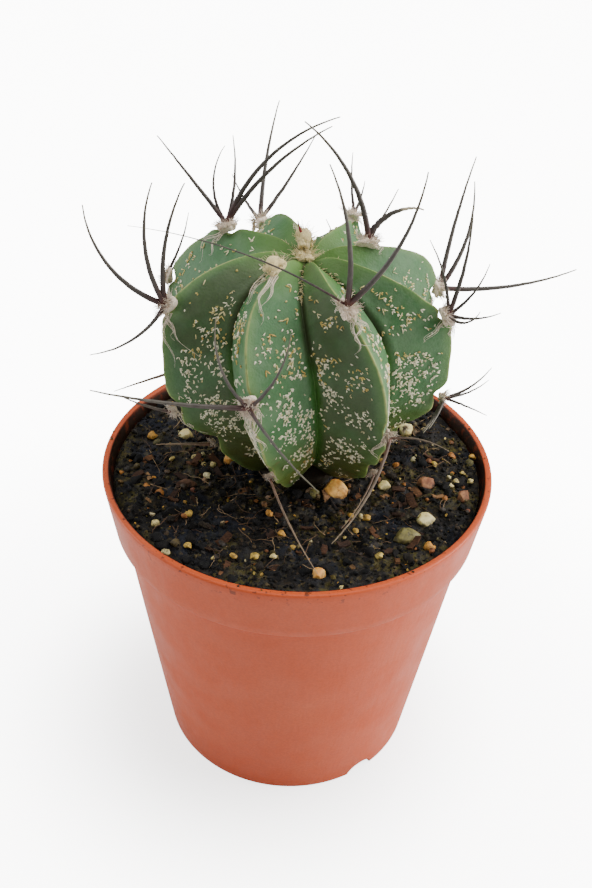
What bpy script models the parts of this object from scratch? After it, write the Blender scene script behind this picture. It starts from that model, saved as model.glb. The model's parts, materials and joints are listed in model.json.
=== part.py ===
"""Round ribbed cactus with curved spines, planted in gritty soil in a small round nursery pot.

Metres, +Z up. The origin is the centre of the pot's flat underside. Angles round the plant are
bearings in degrees: 0 is the front (-Y), and they grow towards +X.
"""
from collections import namedtuple
from math import acos, asin, atan2, cos, exp, pi, radians, sin

import bmesh
import bpy
from mathutils import Matrix, Vector, noise

MM = 0.001
CLEARANCE = 0.3 * MM        # gap between pieces that touch

# Pot: thin moulded plastic, a tapered body under a wider rim band
POT_HEIGHT = 49.0 * MM
RIM_DIAMETER = 55.0 * MM
BASE_DIAMETER = 38.4 * MM
BAND_HEIGHT = 8.6 * MM
BAND_TAPER = 1.4 * MM       # how far the band draws in over its height
BAND_LEDGE = 1.1 * MM       # step from the band in to the body
WALL = 1.0 * MM
POT_FLOOR = 1.2 * MM
EDGE_ROUND = 0.3 * MM       # rounding of the lip
FOOT_ROUND = 0.7 * MM       # rounding of the bottom edge
DRAIN_COUNT = 3
DRAIN_BEARING = 38          # first notch
DRAIN_WIDTH = 4.6 * MM
DRAIN_HEIGHT = 2.3 * MM
DRAIN_REACH = 3.2 * MM      # how far a notch runs in from the bottom edge
DRAIN_SIDES = 16
TURN_STEPS = 48

# Soil: fills the pot to just under the lip
SOIL_DROP = 1.4 * MM        # lip to soil at the wall
SOIL_MOUND = 0.2 * MM       # how much higher the soil lies round the neck
SOIL_ROUGHNESS = 0.4 * MM
SOIL_LUMP = 4.0 * MM        # size of its lumps
SOIL_RINGS = 5

# Stem: eight ribs round one axis, closed by a short root
RIB_BEARINGS = (-24, 24, 67, 110, 155, 197, 241, 292)
STEM_RADIUS = 19.6 * MM     # to the rib crests
CROWN_HEIGHT = 12.0 * MM    # shoulder of the ribs above the widest level
STEM_DEPTH = 21.5 * MM      # underside below the widest level
SHOULDER = 2.7              # squareness of the crest line above, 2 being an ellipse
GROOVE_RADIUS = 13.0 * MM   # to the bottom of the grooves
GROOVE_HEIGHT = 10.4 * MM
GROOVE_DEPTH = 19.5 * MM
GROOVE_SHOULDER = 2.3
CROWN_DIP = 1.9 * MM        # hollow at the growing point
CROWN_DIP_WIDTH = 2.6 * MM
RIB_FLANK = 0.8             # 0.7 is a flat flank, more is fuller
TWIST = 0.178               # radians the ribs turn for each radian down the stem
TWIST_FROM = radians(45)    # where the ribs have the bearings above
NECK_RADIUS = 5.6 * MM
NECK_SHOWING = 1.9 * MM     # between the soil and the stem's underside
ROOT_DEPTH = 17.0 * MM
ROOT_TAPER = 0.7
STEM_COLUMNS = 48
STEM_ROWS = 26
BODY_SHARE = 0.8            # share of the rows above the neck

# Areoles: woolly pads on the crests, each with its own spines
PAD_RADIUS = 1.4 * MM
PAD_THICKNESS = 1.2 * MM
YOUNG_PAD_RADIUS = 1.1 * MM
OLD_PAD_RADIUS = 0.9 * MM
CROWN_PAD_RADIUS = 1.2 * MM
PAD_COLUMNS = 10
PAD_ROWS = 5
SPINE_RADIUS = 0.36 * MM
SPINE_TIP_RADIUS = 0.11 * MM
SPINE_SEGMENTS = 4

# length in mm, then the direction at the root and at the tip: bearing from straight out
# of the rib (right is positive, seen from outside) and rise above level
Spine = namedtuple("Spine", "length bearing rise end_bearing end_rise")
# station is the angle down the rib from the crown, in degrees
Areole = namedtuple("Areole", "name rib station radius spines")

BACK_FAN = (Spine(12, 32, 14, 44, 40), Spine(13, 4, 4, 0, 18))
LOW_FAN = (Spine(9, -32, -2, -44, 6), Spine(8, 30, 0, 38, 10))

AREOLES = (
    Areole("areole_1_crown", 0, 12, YOUNG_PAD_RADIUS, ()),
    Areole("areole_1_middle", 0, 88, PAD_RADIUS, (
        Spine(18.5, -57, 9, -64, 18), Spine(13, 80, 48, 90, 84),
        Spine(14, 50, -20, 60, -8), Spine(14, -56, 50, 101, 82))),
    Areole("areole_1_lower", 0, 121, OLD_PAD_RADIUS, (Spine(13.5, 37, -32, 50, -25),)),
    Areole("areole_2_upper", 1, 35.5, PAD_RADIUS, (
        Spine(18, 66, 85, -100, 66), Spine(19, 59, 47, 98, 83), Spine(27, -112, 34, -118, 2))),
    Areole("areole_2_middle", 1, 102, PAD_RADIUS, (
        Spine(15, -48, -38, -82, -26), Spine(7.5, 49, 18, 24, -13))),
    Areole("areole_2_lower", 1, 128, OLD_PAD_RADIUS, (Spine(8.5, -60, -30, -80, -22),)),
    Areole("areole_3_upper", 2, 64, PAD_RADIUS, (
        Spine(10, 140, 79, -168, 58), Spine(13.5, 50, 71, 122, 79),
        Spine(8, 26, 36, 72, 66), Spine(5, -34, -30, 60, 62), Spine(6.5, -5, -5, 21, 29))),
    Areole("areole_3_middle", 2, 108, PAD_RADIUS, (
        Spine(7.5, 22, 13, 52, 40), Spine(6, -9, -6, -12, -12), Spine(6.5, -100, -22, -112, -12))),
    Areole("areole_3_lower", 2, 130, OLD_PAD_RADIUS, ()),
    Areole("areole_4_upper", 3, 17, PAD_RADIUS, (
        Spine(17, 108, 73, 166, 37), Spine(8.5, 39, 57, -32, -5))),
    Areole("areole_4_middle", 3, 85, PAD_RADIUS, (
        Spine(18.5, 49, 52, 35, 50), Spine(15.5, 12, 40, 72, 53), Spine(19.5, -23, -5, -8, 15))),
    Areole("areole_4_lower", 3, 122, OLD_PAD_RADIUS, (Spine(8, 24, -4, 30, 6), Spine(8, 62, 0, 70, 10))),
    Areole("areole_5_upper", 4, 36, PAD_RADIUS, (
        Spine(8, 49, 57, 20, 59), Spine(7, 10, 12, 20, 16))),
    Areole("areole_5_middle", 4, 92, PAD_RADIUS, (
        Spine(14, -20, 22, -28, 54), Spine(11, 30, 4, 40, 20), Spine(12, 4, -6, 0, 8))),
    Areole("areole_5_lower", 4, 124, OLD_PAD_RADIUS, LOW_FAN),
    Areole("areole_6_crown", 5, 5, YOUNG_PAD_RADIUS, (Spine(2.6, 100, 62, 100, 78),)),
    Areole("areole_6_upper", 5, 66, PAD_RADIUS, (
        Spine(17.5, -20, 48, -39, 46), Spine(14, -69, 41, -60, 45), Spine(12, 6, 2, 0, 16))),
    Areole("areole_6_lower", 5, 108, OLD_PAD_RADIUS, BACK_FAN),
    Areole("areole_7_upper", 6, 31, PAD_RADIUS, (
        Spine(10.5, 0, 42, -108, 46), Spine(20.5, -104, 64, -152, 20),
        Spine(18.5, -122, 56, -147, 30), Spine(14, 6, 44, 8, 44), Spine(11.5, -81, 51, -40, 52))),
    Areole("areole_7_middle", 6, 82, PAD_RADIUS, (
        Spine(9, -110, 44, -77, 53), Spine(9, -75, -22, -64, -8))),
    Areole("areole_7_lower", 6, 118, OLD_PAD_RADIUS, (
        Spine(10.5, 16, -22, 10, -28), Spine(8, -76, -8, -84, 2))),
    Areole("areole_8_upper", 7, 61.5, PAD_RADIUS, (
        Spine(16, -24, 63, 166, 70), Spine(15.5, -75, 79, 169, 63),
        Spine(16, -20, 20, -95, 68), Spine(11.5, 38, -36, -8, 0))),
    Areole("areole_8_middle", 7, 107, PAD_RADIUS, (Spine(6.5, -28, 13, -36, 25),)),
    Areole("areole_8_lower", 7, 129, OLD_PAD_RADIUS, (Spine(7, -28, 6, -26, 2),)),
)

# Stones: bearing, share of the way from the neck to the wall, length, width, height in mm, turn
Stone = namedtuple("Stone", "name bearing reach length width height turn")
STONES = (
    Stone("stone_amber_large", 46, 0.0, 3.6, 3.1, 2.9, 15),
    Stone("stone_olive_small", 22, 0.0, 1.8, 1.6, 1.6, 40),
    Stone("stone_amber_left", -95, 0.12, 2.7, 2.3, 2.2, 20),
    Stone("stone_pale_left", -110, 0.60, 2.3, 1.9, 1.8, 0),
    Stone("stone_pale_right", 121, 0.66, 2.5, 2.2, 2.2, 70),
    Stone("stone_pale_front", 59, 0.78, 2.6, 2.2, 2.1, 30),
    Stone("stone_olive_flat", 47, 0.80, 3.9, 2.7, 1.8, 25),
    Stone("stone_yellow_front", 9, 0.87, 1.9, 1.7, 1.7, 50),
    Stone("stone_rust_chip", 82, 0.65, 2.8, 2.4, 1.5, 60),
    Stone("stone_tan_small", 73, 0.33, 1.9, 1.6, 1.6, 10),
    Stone("stone_red_chip", 78, 0.97, 2.7, 1.9, 1.3, 80),
    Stone("stone_bark_chip", -71, 0.52, 3.2, 1.4, 1.3, 5),
)
STONE_SINK = 0.38           # share of a stone's height below the soil
STONE_LUMPS = 0.12
STONE_LUMP_SCALE = 1.6
STONE_POCKET_GAP = 0.4 * MM

# Worked out from the sizes above
SOIL_LEVEL = POT_HEIGHT - SOIL_DROP
RIM_RADIUS = RIM_DIAMETER / 2
BAND_RADIUS = RIM_RADIUS - BAND_TAPER
BODY_RADIUS = BAND_RADIUS - BAND_LEDGE
BASE_RADIUS = BASE_DIAMETER / 2
BAND_LEVEL = POT_HEIGHT - BAND_HEIGHT


def clear_scene():
    for item in list(bpy.data.objects):
        bpy.data.objects.remove(item, do_unlink=True)


def new_collection(name):
    collection = bpy.data.collections.new(name)
    bpy.context.scene.collection.children.link(collection)
    return collection


def new_material(name, colour, roughness):
    material = bpy.data.materials.new(name)
    material.use_nodes = True
    shader = material.node_tree.nodes["Principled BSDF"]
    shader.inputs["Base Color"].default_value = (*colour, 1)
    shader.inputs["Roughness"].default_value = roughness
    shader.inputs["Metallic"].default_value = 0
    return material


def new_object(name, mesh, collection, material=None):
    item = bpy.data.objects.new(name, mesh)
    collection.objects.link(item)
    if material:
        mesh.materials.clear()
        mesh.materials.append(material)
    return item


def hide_as_tool(item):
    item.hide_render = True
    item.display_type = "WIRE"


def evaluated_copy(item):
    """The object's mesh with its modifiers applied."""
    graph = bpy.context.evaluated_depsgraph_get()
    graph.update()
    return bpy.data.meshes.new_from_object(item.evaluated_get(graph))


def turned_mesh(name, profile, collection):
    """A solid turned round Z from (radius, height) points, running down its outer side."""
    mesh = bpy.data.meshes.new(name)
    points = [(radius, 0, height) for radius, height in profile]
    mesh.from_pydata(points, [(i, i + 1) for i in range(len(points) - 1)], [])
    outline = new_object(name + "_outline", mesh, collection)
    turn = outline.modifiers.new("Turn", "SCREW")
    turn.steps = turn.render_steps = TURN_STEPS
    turn.use_merge_vertices = True
    turn.merge_threshold = 0.00001
    solid = evaluated_copy(outline)
    bpy.data.objects.remove(outline, do_unlink=True)
    solid.name = name
    return solid


def rounded_corner(radius, height, size, start, steps=3):
    """Points of a quarter turn of the given size, inside the corner at (radius, height)."""
    centre = (radius - size, height + size if start < 0 else height - size)
    turns = [radians(start + 90 * i / steps) for i in range(steps + 1)]
    return [(centre[0] + size * cos(t), centre[1] + size * sin(t)) for t in turns]


def pot_inner_radius(height):
    """Radius of the pot's inner wall at a height."""
    step = BAND_LEVEL + WALL
    if height > step:
        share = (height - step) / (POT_HEIGHT - step)
        return BAND_RADIUS - WALL + share * BAND_TAPER
    share = (height - POT_FLOOR) / (step - POT_FLOOR)
    return BASE_RADIUS - WALL + share * (BODY_RADIUS - BASE_RADIUS)


def soil_height(radius):
    """Height of the soil, a low mound round the neck that runs out to the wall."""
    share = radius / pot_inner_radius(SOIL_LEVEL)
    return SOIL_LEVEL + SOIL_MOUND * (1 - share**2)


NECK_LEVEL = soil_height(NECK_RADIUS) + NECK_SHOWING
NECK_ANGLE = pi - asin(NECK_RADIUS / STEM_RADIUS)
WIDEST_LEVEL = NECK_LEVEL - STEM_DEPTH * cos(NECK_ANGLE)


def pot_profile():
    step = BAND_LEVEL + WALL
    inside = [
        (0, POT_FLOOR),
        (pot_inner_radius(POT_FLOOR), POT_FLOOR),
        (BODY_RADIUS - WALL, step),
        (BAND_RADIUS - WALL, step + WALL / 4),
        (RIM_RADIUS - WALL, POT_HEIGHT),
    ]
    lip = rounded_corner(RIM_RADIUS, POT_HEIGHT, EDGE_ROUND, 0)[::-1]
    band = [(BAND_RADIUS, BAND_LEVEL), (BODY_RADIUS, BAND_LEVEL - WALL / 4)]
    foot = rounded_corner(BASE_RADIUS, 0, FOOT_ROUND, -90)[::-1]
    return inside + lip + band + foot + [(0, 0)]


def make_pot(parts, tools, material):
    pot = new_object("pot", turned_mesh("pot", pot_profile(), tools), parts, material)
    for number in range(DRAIN_COUNT):
        bearing = radians(DRAIN_BEARING + 360 * number / DRAIN_COUNT)
        bpy.ops.mesh.primitive_cylinder_add(vertices=DRAIN_SIDES, radius=1, depth=1)
        notch = bpy.context.object
        notch.name = f"drain_notch_{number + 1}"
        notch.data.transform(Matrix.Rotation(pi / 2, 4, "X"))
        notch.data.transform(Matrix.Diagonal((DRAIN_WIDTH / 2, 2 * DRAIN_REACH, DRAIN_HEIGHT, 1)))
        notch.rotation_euler.z = bearing
        notch.location = (BASE_RADIUS * sin(bearing), -BASE_RADIUS * cos(bearing), 0)
        move_to(notch, tools)
        cut = pot.modifiers.new(notch.name, "BOOLEAN")
        cut.operation = "DIFFERENCE"
        cut.object = notch
    return pot


def move_to(item, collection):
    for owner in list(item.users_collection):
        owner.objects.unlink(item)
    collection.objects.link(item)
    hide_as_tool(item)


def superellipse(radius, height, squareness, angle):
    """Distance out and along the axis at an angle from the axis."""
    power = 2 / squareness
    return radius * abs(sin(angle)) ** power, height * abs(cos(angle)) ** power


def rib_line(angle, crest):
    """Radius and height of a rib's crest, or of the groove beside it."""
    if angle > pi / 2:
        size = (STEM_RADIUS, STEM_DEPTH) if crest else (GROOVE_RADIUS, GROOVE_DEPTH)
        radius, depth = superellipse(*size, 2, angle)
        return radius, WIDEST_LEVEL - depth
    size = (STEM_RADIUS, CROWN_HEIGHT, SHOULDER)
    dip = CROWN_DIP
    if not crest:
        size = (GROOVE_RADIUS, GROOVE_HEIGHT, GROOVE_SHOULDER)
        dip = CROWN_DIP - CROWN_HEIGHT + GROOVE_HEIGHT
    radius, height = superellipse(*size, angle)
    return radius, WIDEST_LEVEL + height - dip * exp(-((radius / CROWN_DIP_WIDTH) ** 2))


def rib_bearing(place):
    """Bearing in radians at a place round the stem, whole numbers being crests."""
    count = len(RIB_BEARINGS)
    number = int(place // 1)
    first = RIB_BEARINGS[number % count]
    last = RIB_BEARINGS[(number + 1) % count]
    return radians(first + (place - number) * ((last - first) % 360))


def around(radius, bearing, height):
    return Vector((radius * sin(bearing), -radius * cos(bearing), height))


def stem_point(place, angle):
    """A point of the ribbed skin, by its place round the stem and its angle from the crown."""
    off_crest = abs(2 * (place - round(place)))
    share = 1 - off_crest**RIB_FLANK
    crest, groove = rib_line(angle, True), rib_line(angle, False)
    radius = groove[0] + share * (crest[0] - groove[0])
    height = groove[1] + share * (crest[1] - groove[1])
    return around(radius, rib_bearing(place) + TWIST * (angle - TWIST_FROM), height)


def root_radius(share):
    return NECK_RADIUS * (1 - share) ** ROOT_TAPER


def root_point(place, share):
    """A point of the round root, by the share of the way from the neck to its tip."""
    bearing = rib_bearing(place) + TWIST * (NECK_ANGLE - TWIST_FROM)
    return around(root_radius(share), bearing, NECK_LEVEL - share * ROOT_DEPTH)


def make_stem(parts, material):
    """A sphere's rings, drawn out to the ribbed body above and the tapered root below."""
    form = bmesh.new()
    bmesh.ops.create_uvsphere(form, u_segments=STEM_COLUMNS, v_segments=STEM_ROWS, radius=1)
    for vertex in form.verts:
        place = (atan2(vertex.co.y, vertex.co.x) / (2 * pi)) % 1 * len(RIB_BEARINGS)
        down = acos(max(-1, min(1, vertex.co.z))) / pi
        if down <= BODY_SHARE:
            vertex.co = stem_point(place, down / BODY_SHARE * NECK_ANGLE)
        else:
            vertex.co = root_point(place, (down - BODY_SHARE) / (1 - BODY_SHARE))
    bmesh.ops.recalc_face_normals(form, faces=form.faces)
    mesh = bpy.data.meshes.new("cactus_stem")
    form.to_mesh(mesh)
    form.free()
    return new_object("cactus_stem", mesh, parts, material)


def soil_profile():
    """Up the side of the root's pocket, out over the top, and down inside the pot."""
    top_share = (NECK_LEVEL - soil_height(NECK_RADIUS)) / ROOT_DEPTH
    pocket = [(0, NECK_LEVEL - ROOT_DEPTH - CLEARANCE)]
    for step in range(5):
        share = 1 - (1 - top_share) * step / 4
        pocket.append((root_radius(share) + CLEARANCE, NECK_LEVEL - share * ROOT_DEPTH))
    mouth = pocket[-1][0]
    edge = pot_inner_radius(SOIL_LEVEL) - CLEARANCE
    rings = [mouth + (edge - mouth) * i / SOIL_RINGS for i in range(1, SOIL_RINGS + 1)]
    top = [(radius, soil_height(radius)) for radius in rings]
    step = BAND_LEVEL + WALL + CLEARANCE
    side = [
        (pot_inner_radius(step) - CLEARANCE, step + WALL / 4),
        (BODY_RADIUS - WALL - CLEARANCE, step),
        (pot_inner_radius(POT_FLOOR) - CLEARANCE, POT_FLOOR + CLEARANCE),
        (0, POT_FLOOR + CLEARANCE),
    ]
    return pocket + top + side


def make_soil(parts, tools, material, stone_tools):
    mesh = turned_mesh("soil", soil_profile(), tools)
    for vertex in mesh.vertices:
        radius = vertex.co.xy.length
        if radius > NECK_RADIUS and abs(vertex.co.z - soil_height(radius)) < CLEARANCE / 10:
            lumps = noise.noise(Vector((vertex.co.x, vertex.co.y, 0)) / SOIL_LUMP)
            vertex.co.z += SOIL_ROUGHNESS * lumps
    soil = new_object("soil", mesh, parts, material)
    for tool in stone_tools:
        pocket = soil.modifiers.new(tool.name, "BOOLEAN")
        pocket.operation = "DIFFERENCE"
        pocket.object = tool
    return soil


def stone_mesh(stone, grow):
    """A lumpy pebble, each side grown outwards by the given amount."""
    form = bmesh.new()
    bmesh.ops.create_icosphere(form, subdivisions=2, radius=1)
    size = Vector((stone.length, stone.width, stone.height)) * MM / 2
    seed = Vector((stone.bearing, stone.reach * 10, stone.turn))
    for vertex in form.verts:
        way = vertex.co.normalized()
        lumps = 1 + STONE_LUMPS * noise.noise(way * STONE_LUMP_SCALE + seed)
        vertex.co = Vector(way[i] * (size[i] * lumps + grow) for i in range(3))
    mesh = bpy.data.meshes.new(stone.name)
    form.to_mesh(mesh)
    form.free()
    return mesh


def make_stone(stone, parts, tools, material):
    """Returns the tool that cuts the stone's pocket in the soil."""
    inner = root_radius(0) + CLEARANCE + stone.length * MM / 2
    outer = pot_inner_radius(SOIL_LEVEL) - 2 * CLEARANCE - stone.length * MM / 2
    radius = inner + stone.reach * (outer - inner)
    height = soil_height(radius) + (0.5 - STONE_SINK) * stone.height * MM
    pebble = new_object(stone.name, stone_mesh(stone, 0), parts, material)
    tool = new_object(stone.name + "_pocket", stone_mesh(stone, STONE_POCKET_GAP), tools)
    for item in (pebble, tool):
        item.location = around(radius, radians(stone.bearing), height)
        item.rotation_euler.z = radians(stone.turn)
    hide_as_tool(tool)
    return tool


def crest_frame(rib, angle):
    """A point on a crest, the outward direction there and the rib's bearing."""
    nudge = 0.001
    point = stem_point(rib, angle)
    along = stem_point(rib, angle + nudge) - stem_point(rib, angle - nudge)
    bearing = rib_bearing(rib) + TWIST * (angle - TWIST_FROM)
    side = around(1, bearing + pi / 2, 0)
    return point, along.cross(side).normalized(), bearing


def direction(bearing, rise):
    return around(cos(rise), bearing, sin(rise))


def spine_curve(name, start, bearing, spine, tools):
    """A tapered tube that bends evenly from its root direction to its tip direction."""
    first = direction(bearing + radians(spine.bearing), radians(spine.rise))
    last = direction(bearing + radians(spine.end_bearing), radians(spine.end_rise))
    points = [start]
    for i in range(SPINE_SEGMENTS):
        way = first.slerp(last, (i + 0.5) / SPINE_SEGMENTS)
        points.append(points[-1] + way * spine.length * MM / SPINE_SEGMENTS)
    curve = bpy.data.curves.new(name, "CURVE")
    curve.dimensions = "3D"
    curve.bevel_depth = SPINE_RADIUS
    curve.bevel_resolution = 1
    curve.use_fill_caps = True
    line = curve.splines.new("POLY")
    line.points.add(len(points) - 1)
    for i, (point, place) in enumerate(zip(line.points, points)):
        point.co = (*place, 1)
        share = i / SPINE_SEGMENTS
        point.radius = 1 + share * (SPINE_TIP_RADIUS / SPINE_RADIUS - 1)
    tube = new_object(name, curve, tools)
    mesh = evaluated_copy(tube)
    bpy.data.objects.remove(tube, do_unlink=True)
    form = bmesh.new()
    form.from_mesh(mesh)
    bmesh.ops.remove_doubles(form, verts=form.verts, dist=0.00001)
    form.to_mesh(mesh)
    form.free()
    solid = new_object(name, mesh, tools)
    hide_as_tool(solid)
    return solid


def pad_mesh(name, centre, outward, radius):
    """A flattened ball of wool facing outwards."""
    form = bmesh.new()
    bmesh.ops.create_uvsphere(form, u_segments=PAD_COLUMNS, v_segments=PAD_ROWS, radius=1)
    shape = Matrix.Diagonal((radius, radius, PAD_THICKNESS / 2, 1))
    turn = outward.to_track_quat("Z", "Y").to_matrix().to_4x4()
    bmesh.ops.transform(form, matrix=Matrix.Translation(centre) @ turn @ shape, verts=form.verts)
    mesh = bpy.data.meshes.new(name)
    form.to_mesh(mesh)
    form.free()
    return mesh


def make_areole(areole, parts, tools, material):
    point, outward, bearing = crest_frame(areole.rib, radians(areole.station))
    centre = point + outward * (PAD_THICKNESS / 2 + CLEARANCE)
    mesh = pad_mesh(areole.name, centre, outward, areole.radius)
    pad = new_object(areole.name, mesh, parts, material)
    for number, spine in enumerate(areole.spines):
        name = f"{areole.name}_spine_{number + 1}"
        tube = spine_curve(name, centre, bearing, spine, tools)
        join = pad.modifiers.new(name, "BOOLEAN")
        join.operation = "UNION"
        join.object = tube


def make_crown_wool(parts, material):
    centre = stem_point(0, 0) + Vector((0, 0, PAD_THICKNESS / 2 + CLEARANCE))
    mesh = pad_mesh("crown_wool", centre, Vector((0, 0, 1)), CROWN_PAD_RADIUS)
    new_object("crown_wool", mesh, parts, material)


def main():
    clear_scene()
    parts = new_collection("potted_round_cactus")
    tools = new_collection("tools")
    plastic = new_material("terracotta_plastic", (0.47, 0.11, 0.05), 0.42)
    earth = new_material("potting_soil", (0.02, 0.016, 0.012), 0.95)
    skin = new_material("cactus_skin", (0.05, 0.13, 0.06), 0.5)
    horn = new_material("spine_and_wool", (0.12, 0.09, 0.08), 0.6)
    grit = new_material("grit", (0.42, 0.25, 0.10), 0.8)
    make_pot(parts, tools, plastic)
    make_stem(parts, skin)
    stone_tools = [make_stone(stone, parts, tools, grit) for stone in STONES]
    make_soil(parts, tools, earth, stone_tools)
    make_crown_wool(parts, horn)
    for areole in AREOLES:
        make_areole(areole, parts, tools, horn)


main()
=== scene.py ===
"""Looks of the potted round cactus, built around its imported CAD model.

Metres, +Z up, with the origin at the centre of the pot's underside. Angles round the plant are
bearings: 0 is the front (-Y), and they grow towards +X. A station is an angle down the stem
from its crown.
"""

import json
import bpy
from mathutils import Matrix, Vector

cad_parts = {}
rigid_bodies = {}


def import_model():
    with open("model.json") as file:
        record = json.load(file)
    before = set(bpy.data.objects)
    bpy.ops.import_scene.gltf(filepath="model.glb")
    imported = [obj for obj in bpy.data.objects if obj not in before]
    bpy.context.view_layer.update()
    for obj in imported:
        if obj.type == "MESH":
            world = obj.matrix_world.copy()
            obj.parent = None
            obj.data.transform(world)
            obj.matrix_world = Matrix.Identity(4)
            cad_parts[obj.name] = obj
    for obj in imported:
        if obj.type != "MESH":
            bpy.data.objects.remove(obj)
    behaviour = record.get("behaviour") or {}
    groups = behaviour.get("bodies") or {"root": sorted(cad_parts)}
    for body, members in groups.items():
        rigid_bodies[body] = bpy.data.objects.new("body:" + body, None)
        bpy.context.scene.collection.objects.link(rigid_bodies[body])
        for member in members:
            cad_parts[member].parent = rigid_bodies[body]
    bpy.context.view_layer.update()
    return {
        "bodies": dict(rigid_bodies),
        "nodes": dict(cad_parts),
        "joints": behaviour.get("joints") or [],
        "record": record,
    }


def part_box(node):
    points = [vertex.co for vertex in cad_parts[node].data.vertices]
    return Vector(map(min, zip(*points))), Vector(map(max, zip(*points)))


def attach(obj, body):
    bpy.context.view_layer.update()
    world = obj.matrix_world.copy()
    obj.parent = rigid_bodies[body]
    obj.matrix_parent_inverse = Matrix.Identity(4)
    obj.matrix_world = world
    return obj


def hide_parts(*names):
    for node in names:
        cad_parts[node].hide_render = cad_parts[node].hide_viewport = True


bl_info = {
    "name": "Potted round cactus",
    "version": (1, 0, 0),
    "blender": (4, 5, 0),
    "location": "3D View > Sidebar > Cactus",
    "description": "Models a ribbed cactus with its pot, potting mix, spines and wool",
    "category": "Add Mesh",
}

from collections import namedtuple
from contextlib import contextmanager
from math import asin, cos, pi, radians, sin, sqrt

import bpy
import numpy as np
from bpy.props import FloatProperty, FloatVectorProperty, IntProperty, PointerProperty
from mathutils import Euler, Matrix, Vector, noise

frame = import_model()

MM = 0.001
CLEARANCE = 0.3 * MM

POT_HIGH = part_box("pot")[1]
POT_HEIGHT = POT_HIGH.z
RIM_RADIUS = POT_HIGH.x
BASE_RADIUS = 19.2 * MM
BAND_HEIGHT = 8.6 * MM
BAND_RADIUS = RIM_RADIUS - 1.4 * MM
BODY_RADIUS = BAND_RADIUS - 1.1 * MM
BAND_LEVEL = POT_HEIGHT - BAND_HEIGHT
WALL = 1.0 * MM
POT_FLOOR = 1.2 * MM
FOOT_ROUND = 0.7 * MM
CENTRE_RING = 1.0 * MM
DRAIN_BEARINGS = (38, 158, 278)
DRAIN_SIZE = (4.6 * MM, 6.4 * MM, 4.6 * MM)

SOIL_LEVEL = POT_HEIGHT - 1.4 * MM
SOIL_MOUND = 0.2 * MM
LIP_CRUMBS = 12

RIB_BEARINGS = np.array((-24, 24, 67, 110, 155, 197, 241, 292), float)
STEM_RADIUS = 19.6 * MM
CROWN_HEIGHT = 12.0 * MM
STEM_DEPTH = 21.5 * MM
SHOULDER = 2.7
GROOVE_RADIUS = 13.0 * MM
GROOVE_HEIGHT = 10.4 * MM
GROOVE_DEPTH = 19.5 * MM
GROOVE_SHOULDER = 2.3
CROWN_DIP = 1.9 * MM
CROWN_DIP_WIDTH = 2.6 * MM
RIB_FLANK = 0.8
CREST_ROUND = 0.03
TWIST = 0.178
TWIST_FROM = radians(45)
NECK_RADIUS = 5.6 * MM
NECK_SHOWING = 1.9 * MM
ROOT_DEPTH = 17.0 * MM
ROOT_TAPER = 0.7
BODY_SHARE = 0.92
# how far each rib's crest draws in low down, where the plant was dry once
RIB_TUCKS = np.array((0.3, 0.2, 0.9, 0.6, 0.6, 0.6, 0.8, 2.0)) * MM
TUCK_STATION, TUCK_SPREAD = radians(130), radians(16)
# bearing of the flanks that get painted shade: the front left, turned from the key light
PAINTED_SHADE_BEARING = radians(-22)

PAD_THICKNESS = 1.2 * MM
PAD_CLUMPS = 14
LOCK_HAIRS = 6
CROWN_FELTS, CROWN_HAIRS, GROOVE_HAIRS = 9, 170, 34

# length in mm, then the direction at the root and at the tip: bearing from straight out
# of the rib (right is positive, seen from outside) and rise above level
# thick is a share of the usual thickness, and papery a share of dry pale tip
Spine = namedtuple("Spine", "length bearing rise end_bearing end_rise thick papery",
                   defaults=(1.0, 0.0))
# age is 0 for a live areole and 1 for a dead one; strands are hanging hairs, of a length in mm
Areole = namedtuple("Areole", "name rib station radius age strands strand_length spines")

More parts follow.
